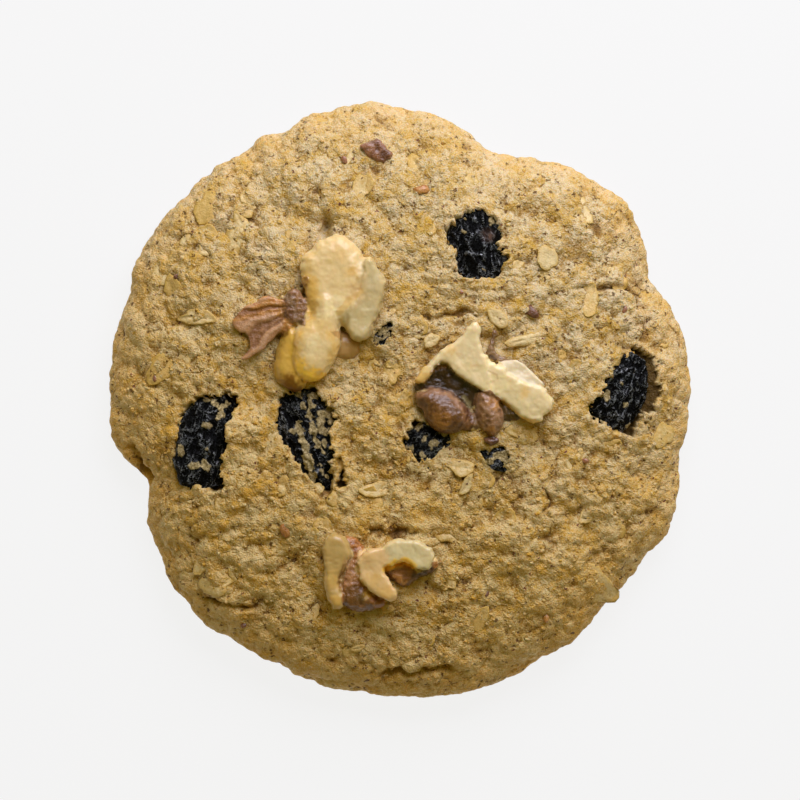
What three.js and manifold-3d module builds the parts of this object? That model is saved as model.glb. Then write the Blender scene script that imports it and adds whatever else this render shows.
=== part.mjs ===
// An oatmeal raisin cookie with walnut pieces baked into its top, in millimetres.
// +Z is up. The flat underside lies on Z = 0 and the origin is below the middle of the cookie.
// The dough is one solid whose crags and oat flakes are relief. Each raisin and each piece of
// walnut is a solid of its own, in a pocket that the dough leaves for it.
import * as THREE from "three";
import { mergeVertices } from "three/addons/utils/BufferGeometryUtils.js";
import Module from "manifold-3d";

const wasm = await Module();
wasm.setup();

// ---------------------------------------------------------------- driving dimensions

const cookie = {
  radius: 40.2, // the mean, seen from above
  height: 12.4, // of the dough's bare dome
  widestAt: 3.6, // height of the widest line
  undercut: 2.0, // how far the flat underside stays inside that line
  topFlatness: 3.6, // exponents of the dome's superellipse
  edgeRoundness: 1.7,
};

// Where the rim bulges or falls short of its mean radius: direction and spread in degrees.
const rimLobes = [
  { at: 24, spread: 8, out: -1.3 },
  { at: 43, spread: 9, out: 1.2 },
  { at: 68, spread: 10, out: -3.5 },
  { at: 97, spread: 9, out: 0.9 },
  { at: 108, spread: 3, out: 1.1 },
  { at: 117, spread: 3, out: 0.9 },
  { at: 136, spread: 16, out: 0.8 },
  { at: 153, spread: 5, out: 0.6 },
  { at: 183, spread: 8, out: -0.4 },
  { at: 198, spread: 6, out: -3.6 },
  { at: 209, spread: 6, out: -1.2 },
  { at: 232, spread: 5, out: 0.9 },
  { at: 262, spread: 12, out: 0.5 },
  { at: 290, spread: 16, out: 1.4 },
  { at: 315, spread: 7, out: -0.4 },
  { at: 336, spread: 5, out: 0.9 },
  { at: 349, spread: 6, out: -0.6 },
];

// Crags: rounded mounds of dough over clumps of oats, as cells of two sizes.
const crags = [
  { size: 6.2, height: 1.9, seed: 3 },
  { size: 3.2, height: 0.95, seed: 8 },
];
const swell = { size: 17, height: 1.1, seed: 5 }; // broad hills and hollows of the top

const mesh = { topRings: 24, sideRings: 4 }; // of the dough

const gap = 0.35; // left between the dough and whatever sits in it

// Oat flakes that stand out of the dough: a jittered grid of flattened ovals.
const oats = { spacing: 9.1, long: 2.3, wide: 1.6, thick: 0.7, lift: 0.35, reach: 0.86, seed: 21 };

// The flakes that show best: middle, half length, half width and direction in degrees.
const markedFlakes = [
  { x: 20.4, y: 19.5, long: 1.8, wide: 1.5, turn: 70 },
  { x: 20.8, y: 14.8, long: 2.4, wide: 1.4, turn: 0 },
  { x: 17.8, y: 8.4, long: 3.3, wide: 1.2, turn: 15 },
  { x: 13.7, y: 11.2, long: 1.8, wide: 1.3, turn: -25 },
  { x: 16.8, y: -4.6, long: 2.4, wide: 1.4, turn: -20 },
  { x: 36.4, y: -4.8, long: 1.6, wide: 1.3, turn: 80 },
  { x: -27.7, y: 11.4, long: 2.9, wide: 1.2, turn: -5 },
  { x: -22.4, y: 22.0, long: 2.2, wide: 1.6, turn: 100 },
  { x: -3.5, y: 25.3, long: 2.6, wide: 2.1, turn: 20 },
  { x: -3.0, y: -12.2, long: 2.2, wide: 1.3, turn: 10 },
  { x: -18.6, y: -13.9, long: 2.3, wide: 1.4, turn: 30 },
  { x: -25.1, y: -25.3, long: 2.4, wide: 1.5, turn: 10 },
  { x: 14.2, y: -33.0, long: 2.4, wide: 1.5, turn: 15 },
  { x: 27.2, y: -25.4, long: 3.0, wide: 2.2, turn: -30 },
];

// Raisins: middle, half length, half width, half thickness, direction of the length in degrees
// from +X, and height of the middle over the bare dome.
const raisins = {
  raisin_left: { x: -26.0, y: -5.9, long: 6.9, wide: 4.5, thick: 3.0, turn: 76, lift: -1.9 },
  raisin_middle: { x: -12.3, y: -5.3, long: 7.5, wide: 4.7, thick: 3.0, turn: 109, lift: -1.9 },
  raisin_upper: { x: 10.9, y: 20.7, long: 5.6, wide: 4.2, thick: 2.8, turn: 100, lift: -1.9 },
  raisin_right: { x: 30.4, y: 0.6, long: 6.2, wide: 3.7, thick: 2.9, turn: 62, lift: -2.3 },
  raisin_centre: { x: 4.0, y: -6.2, long: 4.3, wide: 3.2, thick: 2.2, turn: 50, lift: -1.5 },
  raisin_crest: { x: 13.2, y: -7.9, long: 2.6, wide: 1.9, thick: 1.8, turn: 150, lift: -1.0 },
  raisin_buried: { x: -2.4, y: 9.2, long: 2.5, wide: 1.9, thick: 1.8, turn: 60, lift: -1.0 },
};
const wrinkles = { count: 7, depth: 0.13, twist: 1.3, detail: 2 };

// Walnut pieces: each is a few lobes run together. A lobe is a rounded tube through points
// [x, y, height over the bare dome], with its half widths along it and its half height.
const walnuts = {
  walnut_large: [
    {
      path: [[-9.2, 21.0, 0.7], [-9.3, 17.6, 1.3], [-9.4, 13.0, 1.5], [-10.8, 9.0, 1.6]],
      half: [2.4, 4.0, 4.0, 2.5], high: 1.9,
    },
    { path: [[-5.0, 17.2, 0.3], [-4.4, 13.6, 0.5], [-4.2, 9.8, 0.3]], half: [1.9, 2.9, 1.7], high: 1.5 },
    {
      path: [[-11.0, 9.5, 1.5], [-11.4, 6.6, 1.5], [-12.3, 3.9, 0.9]],
      half: [2.6, 3.3, 2.4], high: 2.2,
    },
    {
      path: [[-14.4, 8.6, 0.2], [-15.4, 5.6, 0.2], [-14.9, 3.0, 0.0]],
      half: [1.7, 2.1, 2.2], high: 1.9,
    },
    { path: [[-8.4, 8.2, -0.3], [-6.6, 7.4, -0.4]], half: [1.7, 1.7], high: 1.6 },
    { path: [[-14.4, 13.9, 0.8], [-13.2, 12.0, 0.9]], half: [1.5, 1.9], high: 1.3 },
    {
      path: [[-13.8, 11.9, 0.8], [-17.4, 10.8, 0.8], [-20.4, 9.4, 0.4]],
      half: [1.6, 2.9, 2.7], high: 0.6,
    },
  ],
  walnut_wedge: [
    {
      path: [[2.8, 2.8, 0.6], [5.2, 5.4, 1.1], [9.0, 5.4, 1.5], [13.8, 2.8, 1.6], [18.1, -0.4, 1.0]],
      half: [0.9, 1.7, 2.7, 2.3, 2.0], high: 1.4,
    },
    { path: [[10.1, 8.9, 0.8], [9.2, 5.6, 1.3]], half: [0.9, 2.6], high: 1.2 },
    { path: [[4.6, 3.0, -0.2], [10.4, 1.6, -0.2]], half: [1.9, 1.8], high: 1.6 },
    { path: [[5.3, -1.2, 0.1], [7.2, -2.1, 0.1]], half: [2.7, 2.7], high: 2.0 },
    { path: [[12.2, 0.2, 0.2], [12.6, -3.2, 0.1]], half: [1.8, 1.8], high: 1.7 },
  ],
  walnut_hook: [
    {
      path: [[-8.5, -20.2, 0.5], [-8.6, -23.0, 1.0], [-8.0, -26.2, 0.6]],
      half: [1.7, 1.8, 1.5], high: 1.9,
    },
    {
      path: [
        [3.9, -21.4, 0.9], [0.7, -20.7, 1.3], [-2.3, -21.3, 1.5],
        [-3.9, -23.2, 1.6], [-3.3, -25.2, 1.4], [-1.4, -26.5, 0.8],
      ],
      half: [1.6, 1.4, 1.6, 1.7, 1.5, 1.2], high: 1.6,
    },
    {
      path: [[-5.9, -20.6, -0.1], [-6.7, -24.3, 0.0], [-5.2, -27.2, 0.0], [-3.0, -27.8, -0.1]],
      half: [1.5, 2.4, 2.3, 1.7], high: 1.7,
    },
    { path: [[-0.4, -23.8, -0.3], [4.0, -23.0, -0.3]], half: [1.5, 1.5], high: 1.4 },
  ],
  walnut_chip: [
    { path: [[-3.8, 34.6, 0.2], [-2.0, 34.0, 0.2]], half: [1.5, 1.7], high: 0.9 },
  ],
};
const lobeMesh = { around: 8, capRings: 2, bodyRings: 4, capLength: 0.8 };

// ---------------------------------------------------------------- repeatable unevenness

// A number from 0 to 1 that depends only on a lattice point and a seed.
function latticeRandom(i, j, k, seed) {
  const s = Math.sin(i * 12.9898 + j * 78.233 + k * 37.719 + seed * 5.137) * 4375.8545;
  return s - Math.floor(s);
}

// Smooth noise from -1 to 1 with hills about one size across.
function smoothNoise(x, y, { size, seed }) {
  const gx = x / size;
  const gy = y / size;
  const i = Math.floor(gx);
  const j = Math.floor(gy);
  const ease = (t) => t * t * (3 - 2 * t);
  const u = ease(gx - i);
  const v = ease(gy - j);
  const corner = (di, dj) => latticeRandom(i + di, j + dj, 0, seed);
  const near = corner(0, 0) * (1 - u) + corner(1, 0) * u;
  const far = corner(0, 1) * (1 - u) + corner(1, 1) * u;
  return 2 * (near * (1 - v) + far * v) - 1;
}

// Rounded mounds with creases between them: 1 less the square of the distance, in cells, to the
// nearest of the points scattered one to a cell.
function mounds(x, y, z, { size, seed }) {
  const cell = [x / size, y / size, z / size].map(Math.floor);
  let nearest = Infinity;
  for (let i = cell[0] - 1; i <= cell[0] + 1; i++)
    for (let j = cell[1] - 1; j <= cell[1] + 1; j++)
      for (let k = cell[2] - 1; k <= cell[2] + 1; k++) {
        const dx = i + latticeRandom(i, j, k, seed) - x / size;
        const dy = j + latticeRandom(i, j, k, seed + 1) - y / size;
        const dz = k + latticeRandom(i, j, k, seed + 2) - z / size;
        nearest = Math.min(nearest, dx * dx + dy * dy + dz * dz);
      }
  return 1 - Math.min(nearest, 1);
}

// ---------------------------------------------------------------- the dough

function rimRadius(angle) {
  let radius = cookie.radius;
  for (const { at, spread, out } of rimLobes) {
    const away = (((THREE.MathUtils.radToDeg(angle) - at) % 360) + 540) % 360 - 180;
    radius += out * Math.exp(-((away / spread) ** 2));
  }
  return radius;
}

// Height of the bare dome at a share of the rim's radius.
function domeHeight(share) {
  const rise = (1 - Math.min(share, 1) ** cookie.topFlatness) ** (1 / cookie.edgeRoundness);
  return cookie.widestAt + (cookie.height - cookie.widestAt) * rise;
}

// Height of the top at a place, broad swells included, crags left out.
function topHeight(x, y) {
  const share = Math.hypot(x, y) / rimRadius(Math.atan2(y, x));
  return domeHeight(share) + swell.height * smoothNoise(x, y, swell) * (1 - share ** 4);
}

// The dough's section from the top's middle to the edge of the underside, as points
// [share of the rim's radius, height] the same distance apart.
function sectionPoints(count) {
  const fine = new THREE.Path();
  const steps = 400;
  fine.moveTo(0, cookie.height);
  for (let i = 1; i <= steps; i++) {
    const share = Math.sin((Math.PI / 2) * (i / steps)) ** (2 / cookie.topFlatness);
    fine.lineTo(share * cookie.radius, domeHeight(share));
  }
  for (let i = 1; i <= steps; i++) {
    const turn = (Math.PI / 2) * (i / steps);
    const inward = cookie.undercut * (1 - Math.cos(turn));
    fine.lineTo(cookie.radius - inward, cookie.widestAt * (1 - Math.sin(turn)));
  }
  return fine.getSpacedPoints(count).map((p) => [p.x / cookie.radius, p.y]);
}

// The place on the dough's surface in a direction, with its swells and crags.
function doughPoint(angle, [share, height], outward) {
  const radius = share * rimRadius(angle);
  const x = radius * Math.cos(angle);
  const y = radius * Math.sin(angle);
  const settled = Math.min(1, height / cookie.widestAt); // nothing moves where it lies flat
  let bump = 0;
  for (const crag of crags) bump += crag.height * (mounds(x, y, height, crag) - 0.72);
  bump *= settled;
  const top = swell.height * smoothNoise(x, y, swell) * (1 - share ** 4) * settled;
  const side = radius > 0 ? (radius + bump * outward.x) / radius : 1;
  return new THREE.Vector3(x * side, y * side, height + top + bump * outward.y);
}

// A disc of rings: ring k of the top has 6k points, and the side's rings as many as its last.
function doughGeometry() {
  const { topRings, sideRings } = mesh;
  const rings = topRings + sideRings;
  const section = sectionPoints(rings);
  const position = [];
  const index = [];
  const ringStart = [0];
  const ringCount = [1];
  position.push(...doughPoint(0, section[0], new THREE.Vector2(0, 1)));
  for (let k = 1; k <= rings; k++) {
    const before = section[k - 1];
    const after = section[Math.min(k + 1, rings)];
    const run = new THREE.Vector2((after[0] - before[0]) * cookie.radius, after[1] - before[1]);
    const outward = new THREE.Vector2(-run.y, run.x).normalize();
    ringStart.push(position.length / 3);
    ringCount.push(6 * Math.min(k, topRings));
    for (let i = 0; i < ringCount[k]; i++) {
      const angle = (2 * Math.PI * i) / ringCount[k];
      position.push(...doughPoint(angle, section[k], outward));
    }
  }
  for (let k = 1; k <= rings; k++) {
    const at = (i) => ringStart[k] + (i % ringCount[k]);
    const inner = (i) => ringStart[k - 1] + (i % ringCount[k - 1]);
    if (k > topRings) {
      for (let i = 0; i < ringCount[k]; i++) {
        index.push(inner(i), at(i), at(i + 1), inner(i), at(i + 1), inner(i + 1));
      }
      continue;
    }
    for (let sector = 0; sector < 6; sector++)
      for (let i = 0; i < k; i++) {
        const here = sector * k + i;
        const under = sector * (k - 1) + i;
        index.push(inner(under), at(here), at(here + 1));
        if (i < k - 1) index.push(inner(under), at(here + 1), inner(under + 1));
      }
  }
  const underside = position.length / 3;
  position.push(0, 0, 0);
  for (let i = 0; i < ringCount[rings]; i++) {
    const edge = ringStart[rings];
    index.push(edge + i, underside, edge + ((i + 1) % ringCount[rings]));
  }
  return new THREE.BufferGeometry()
    .setAttribute("position", new THREE.Float32BufferAttribute(position, 3))
    .setIndex(index);
}

// ---------------------------------------------------------------- oats, raisins, walnuts

// A flattened oval lying on the top, tilted a little.
function flakeGeometry({ x, y, long, wide, thick, turn, lift, tilt = 0 }) {
  const flake = new THREE.SphereGeometry(1, 6, 3);
  flake.rotateX(Math.PI / 2);
  flake.scale(long, wide, thick);
  flake.rotateX(tilt);
  flake.rotateZ(turn);
  return flake.translate(x, y, topHeight(x, y) + lift);
}

function tooNear(x, y) {
  const near = (px, py, reach) => Math.hypot(x - px, y - py) < reach + oats.long;
  return (
    markedFlakes.some((flake) => near(flake.x, flake.y, flake.long)) ||
    Object.values(raisins).some((raisin) => near(raisin.x, raisin.y, raisin.long)) ||
    Object.values(walnuts)
      .flat()
      .some(({ path, half }) => path.some(([px, py]) => near(px, py, Math.max(...half) + gap)))
  );
}

function flakeGeometries() {
  const flakes = markedFlakes.map(({ turn, ...flake }) =>
    flakeGeometry({ ...flake, thick: oats.thick, lift: oats.lift, turn: THREE.MathUtils.degToRad(turn) }),
  );
  const span = Math.ceil(cookie.radius / oats.spacing);
  for (let i = -span; i <= span; i++)
    for (let j = -span; j <= span; j++) {
      const draw = (n) => latticeRandom(i, j, n, oats.seed);
      const x = (i + 0.8 * (draw(1) - 0.5)) * oats.spacing;
      const y = (j + 0.8 * (draw(2) - 0.5)) * oats.spacing;
      if (Math.hypot(x, y) > oats.reach * rimRadius(Math.atan2(y, x))) continue;
      if (tooNear(x, y)) continue;
      const size = 0.8 + 0.5 * draw(3);
      flakes.push(
        flakeGeometry({
          x,
          y,
          long: oats.long * size,
          wide: oats.wide * size,
          thick: oats.thick,
          turn: 2 * Math.PI * draw(4),
          tilt: 0.5 * (draw(5) - 0.5),
          lift: oats.lift,
        }),
      );
    }
  return flakes;
}

// A shrunken grape: an oval with ridges that run along it and wander as they go. grow makes the
// same shape larger all round.
function raisinGeometry({ x, y, long, wide, thick, turn, lift }, grow = 0) {
  const raisin = new THREE.IcosahedronGeometry(1, wrinkles.detail);
  const place = raisin.getAttribute("position");
  const p = new THREE.Vector3();
  for (let i = 0; i < place.count; i++) {
    p.fromBufferAttribute(place, i);
    const around = Math.atan2(p.z, p.y);
    const taper = 1 - p.x * p.x;
    const fold = Math.sin(wrinkles.count * around + wrinkles.twist * Math.sin(3 * p.x + x));
    const shrink = 1 - wrinkles.depth * taper * (0.5 - 0.5 * fold);
    p.multiply(new THREE.Vector3(long * shrink + grow, wide * shrink + grow, thick * shrink + grow));
    place.setXYZ(i, p.x, p.y, p.z);
  }
  raisin.rotateZ(THREE.MathUtils.degToRad(turn));
  return raisin.translate(x, y, topHeight(x, y) + lift);
}

// A tube through a path over the dome, whose ends are round caps. grow makes the same shape
// larger all round.
function lobeGeometry({ path, half, high }, grow = 0) {
  const points = path.map(([x, y, lift]) => new THREE.Vector3(x, y, topHeight(x, y) + lift));
  const line = new THREE.CatmullRomCurve3(points);
  const { around, capRings, bodyRings, capLength } = lobeMesh;
  const widthAt = (t) => {
    const place = t * (half.length - 1);
    const i = Math.min(Math.floor(place), half.length - 2);
    return half[i] + (half[i + 1] - half[i]) * (place - i);
  };
  // Each ring: its place along the line, how far it stands off along the way there as a share of
  // the cap, and its fullness.
  const rings = [];
  for (let k = 1; k <= capRings; k++) {
    const turn = ((Math.PI / 2) * k) / capRings;
    rings.push({ t: 0, off: -Math.cos(turn), full: Math.sin(turn) });
  }
  for (let k = 1; k < bodyRings; k++) rings.push({ t: k / bodyRings, off: 0, full: 1 });
  for (let k = capRings; k >= 1; k--) {
    const turn = ((Math.PI / 2) * k) / capRings;
    rings.push({ t: 1, off: Math.cos(turn), full: Math.sin(turn) });
  }
  const place = ({ t, off }) => {
    const reach = off * (capLength * widthAt(t) + grow);
    return line.getPoint(t).addScaledVector(line.getTangent(t), reach);
  };
  const position = [...place({ t: 0, off: -1 })];
  for (const ring of rings) {
    const way = line.getTangent(ring.t);
    const across = new THREE.Vector3(-way.y, way.x, 0).normalize();
    for (let i = 0; i < around; i++) {
      const angle = (2 * Math.PI * i) / around;
      const p = place(ring);
      p.addScaledVector(across, Math.cos(angle) * ring.full * (widthAt(ring.t) + grow));
      p.z += Math.sin(angle) * ring.full * (high + grow);
      position.push(...p);
    }
  }
  position.push(...place({ t: 1, off: 1 }));
  const index = [];
  const last = position.length / 3 - 1;
  const at = (k, i) => 1 + k * around + (i % around);
  for (let i = 0; i < around; i++) {
    index.push(0, at(0, i + 1), at(0, i));
    for (let k = 0; k < rings.length - 1; k++) {
      index.push(at(k, i), at(k, i + 1), at(k + 1, i + 1), at(k, i), at(k + 1, i + 1), at(k + 1, i));
    }
    index.push(last, at(rings.length - 1, i), at(rings.length - 1, i + 1));
  }
  return new THREE.BufferGeometry()
    .setAttribute("position", new THREE.Float32BufferAttribute(position, 3))
    .setIndex(index);
}

// ---------------------------------------------------------------- solids

function solidOf(geometry) {
  const bare = geometry.clone();
  bare.deleteAttribute("normal");
  bare.deleteAttribute("uv");
  const merged = mergeVertices(bare, 1e-4);
  return new wasm.Manifold(
    new wasm.Mesh({
      numProp: 3,
      vertProperties: merged.getAttribute("position").array,
      triVerts: new Uint32Array(merged.index.array),
    }),
  );
}

function joined(geometries) {
  return geometries.map(solidOf).reduce((whole, next) => whole.add(next));
}

// The largest closed body of a solid, without crumbs that a cut has left loose.
function largest(solid) {
  return solid.decompose().reduce((a, b) => (b.volume() > a.volume() ? b : a));
}

function meshOf(solid, name, material) {
  const made = solid.getMesh();
  const geometry = new THREE.BufferGeometry()
    .setAttribute("position", new THREE.BufferAttribute(made.vertProperties, 3))
    .setIndex(new THREE.BufferAttribute(made.triVerts, 1));
  geometry.computeVertexNormals();
  const shown = new THREE.Mesh(geometry, material);
  shown.name = name;
  return shown;
}

const dough = new THREE.MeshStandardMaterial({ color: 0xc79f5e, roughness: 0.85, metalness: 0 });
const raisinSkin = new THREE.MeshStandardMaterial({ color: 0x14141a, roughness: 0.45, metalness: 0 });
const walnutFlesh = new THREE.MeshStandardMaterial({ color: 0xdcb86f, roughness: 0.55, metalness: 0 });
const walnutSkin = new THREE.MeshStandardMaterial({ color: 0x5d3520, roughness: 0.6, metalness: 0 });

const group = new THREE.Group();

// Walnut pieces lie on top, so a raisin under one gives way to it, and the dough to both.
const walnutSolids = {};
const pockets = [];
for (const [name, lobes] of Object.entries(walnuts)) {
  walnutSolids[name] = largest(joined(lobes.map((lobe) => lobeGeometry(lobe))));
  pockets.push(joined(lobes.map((lobe) => lobeGeometry(lobe, gap))));
}
const walnutPockets = pockets.reduce((whole, next) => whole.add(next));

const raisinSolids = {};
for (const [name, raisin] of Object.entries(raisins)) {
  raisinSolids[name] = largest(solidOf(raisinGeometry(raisin)).subtract(walnutPockets));
  pockets.push(solidOf(raisinGeometry(raisin, gap)));
}

let doughSolid = joined([doughGeometry(), ...flakeGeometries()]);
for (const pocket of pockets) doughSolid = doughSolid.subtract(pocket);
doughSolid = largest(doughSolid);

group.add(meshOf(doughSolid, "cookie", dough));
for (const [name, solid] of Object.entries(raisinSolids)) group.add(meshOf(solid, name, raisinSkin));
for (const [name, solid] of Object.entries(walnutSolids)) {
  group.add(meshOf(solid, name, name === "walnut_chip" ? walnutSkin : walnutFlesh));
}

// The middle of the outline's box goes over the origin.
const box = new THREE.Box3().setFromObject(group);
const middle = box.getCenter(new THREE.Vector3());
group.position.set(-middle.x, -middle.y, 0);

export default group;
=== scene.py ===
import math
import bpy
import numpy as np
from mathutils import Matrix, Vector, geometry


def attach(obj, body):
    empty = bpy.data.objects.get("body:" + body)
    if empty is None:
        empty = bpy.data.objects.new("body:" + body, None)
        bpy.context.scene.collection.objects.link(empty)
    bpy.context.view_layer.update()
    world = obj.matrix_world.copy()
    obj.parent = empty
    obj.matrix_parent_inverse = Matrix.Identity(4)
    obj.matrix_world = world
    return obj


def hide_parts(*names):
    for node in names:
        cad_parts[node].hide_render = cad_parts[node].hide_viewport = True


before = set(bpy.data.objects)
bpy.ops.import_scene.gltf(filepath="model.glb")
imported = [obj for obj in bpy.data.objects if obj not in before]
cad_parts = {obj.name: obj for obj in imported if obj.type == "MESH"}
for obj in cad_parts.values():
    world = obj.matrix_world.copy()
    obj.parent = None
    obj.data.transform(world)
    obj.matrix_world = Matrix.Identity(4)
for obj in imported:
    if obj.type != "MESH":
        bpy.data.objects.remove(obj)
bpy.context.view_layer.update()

mm = 0.001  # shapes below are worked out in millimetres


# Unevenness that repeats: the same numbers as the solids use

def latticeRandom(i, j, k, seed):
    # fract(4375.8545 sin(12.9898 i + 78.233 j + 37.719 k + 5.137 seed))
    s = np.sin(i * 12.9898 + j * 78.233 + k * 37.719 + seed * 5.137) * 4375.8545
    return s - np.floor(s)


def valueNoise(p, size, seed):
    # the eight lattice numbers round p / size, blended by 3t^2 - 2t^3, from -1 to 1
    q = p / size
    cell = np.floor(q)
    t = q - cell
    t = t * t * (3 - 2 * t)
    total = 0
    for di in (0, 1):
        for dj in (0, 1):
            for dk in (0, 1):
                weight = np.abs(1 - di - t[:, 0]) * np.abs(1 - dj - t[:, 1]) * np.abs(1 - dk - t[:, 2])
                total = total + weight * latticeRandom(cell[:, 0] + di, cell[:, 1] + dj, cell[:, 2] + dk,
                                                       seed)
    return 2 * total - 1


def mounds(p, size, seed):
    # 1 - min(F^2, 1), F the distance in cells to the nearest of one scattered point a cell;
    # also a random number of that point
    q = p / size
    cell = np.floor(q)
    nearest = np.full(len(p), 9.0)
    number = np.zeros(len(p))
    for di in (-1, 0, 1):
        for dj in (-1, 0, 1):
            for dk in (-1, 0, 1):
                i, j, k = cell[:, 0] + di, cell[:, 1] + dj, cell[:, 2] + dk
                one = latticeRandom(i, j, k, seed)
                dx = i + one - q[:, 0]
                dy = j + latticeRandom(i, j, k, seed + 1) - q[:, 1]
                dz = k + latticeRandom(i, j, k, seed + 2) - q[:, 2]
                away = dx * dx + dy * dy + dz * dz
                closer = away < nearest
                nearest = np.where(closer, away, nearest)
                number = np.where(closer, one, number)
    return 1 - np.minimum(nearest, 1), number


def ridgeNoise(p, size, seed):
    # 1 - 2 |noise|, sharp crests where the noise passes through nought
    return 1 - np.abs(valueNoise(p, size, seed)) * 2


def noiseSum(p, octaves):
    # sum of high valueNoise over the octaves' size, high and seed
    return sum(high * valueNoise(p, size, seed) for size, high, seed in octaves)


def flatPlaces(x, y):
    # (x, y, 0), so that a noise follows the plan alone
    return np.stack([x, y, np.zeros(len(x))], axis=1)


def softStep(low, high, value):
    # 3t^2 - 2t^3 with t = (value - low) / (high - low) kept from 0 to 1
    t = np.clip((value - low) / (high - low), 0, 1)
    return t * t * (3 - 2 * t)


# Meshes

def addMesh(name, points, faces, attributes=None):
    # points in millimetres over the cookie's middle, faces as rows of point numbers
    mesh = bpy.data.meshes.new(name)
    mesh.vertices.add(len(points))
    mesh.vertices.foreach_set("co", ((points + outlineShift) * mm).ravel())
    mesh.loops.add(faces.size)
    mesh.loops.foreach_set("vertex_index", faces.ravel())
    mesh.polygons.add(len(faces))
    mesh.polygons.foreach_set("loop_start", np.arange(0, faces.size, faces.shape[1]))
    mesh.polygons.foreach_set("use_smooth", np.ones(len(faces), bool))
    for key, values in (attributes or {}).items():
        if values.ndim == 2:
            rgba = np.column_stack([values, np.ones(len(values))])
            mesh.attributes.new(key, "FLOAT_COLOR", "POINT").data.foreach_set("color", rgba.ravel())
        else:
            mesh.attributes.new(key, "FLOAT", "POINT").data.foreach_set("value", np.clip(values, 0, 1))
    mesh.update(calc_edges=True)
    piece = bpy.data.objects.new(name, mesh)
    bpy.context.scene.collection.objects.link(piece)
    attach(piece, "root")
    return piece


def meshNormals(points, faces):
    # the sum of the faces' cross products round each point, made one long
    a, b, c = points[faces[:, 0]], points[faces[:, 1]], points[faces[:, 2]]
    cross = np.cross(b - a, c - a)
    normals = np.stack([
        sum(np.bincount(faces[:, corner], cross[:, axis], len(points)) for corner in range(3))
        for axis in range(3)
    ], axis=1)
    return normals / np.maximum(np.linalg.norm(normals, axis=1), 1e-12)[:, None]


def outlineDistance(x, y, outline):
    # distance to the closed outline's nearest side, positive inside it
    nearest = np.full(len(x), 1e9)
    inside = np.zeros(len(x), bool)
    for (ax, ay), (bx, by) in zip(outline, np.roll(outline, -1, axis=0)):
        ux, uy = bx - ax, by - ay
        t = np.clip(((x - ax) * ux + (y - ay) * uy) / (ux * ux + uy * uy), 0, 1)
        nearest = np.minimum(nearest, np.hypot(x - ax - t * ux, y - ay - t * uy))
        crosses = ((ay > y) != (by > y)) & (x < ux * (y - ay) / (uy if uy else 1e-9) + ax)
        inside ^= crosses
    return np.where(inside, nearest, -nearest)


def pathDistance(x, y, path):
    # distance to an open path, and the share of the way along it of its nearest place
    nearest = np.full(len(x), 1e9)
    along = np.zeros(len(x))
    for n in range(len(path) - 1):
        (ax, ay), (bx, by) = path[n], path[n + 1]
        ux, uy = bx - ax, by - ay
        t = np.clip(((x - ax) * ux + (y - ay) * uy) / (ux * ux + uy * uy), 0, 1)
        away = np.hypot(x - ax - t * ux, y - ay - t * uy)
        along = np.where(away < nearest, (n + t) / (len(path) - 1), along)
        nearest = np.minimum(nearest, away)
    return nearest, along


# The dough: a disc of rings over the dome and round to the flat underside

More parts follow.
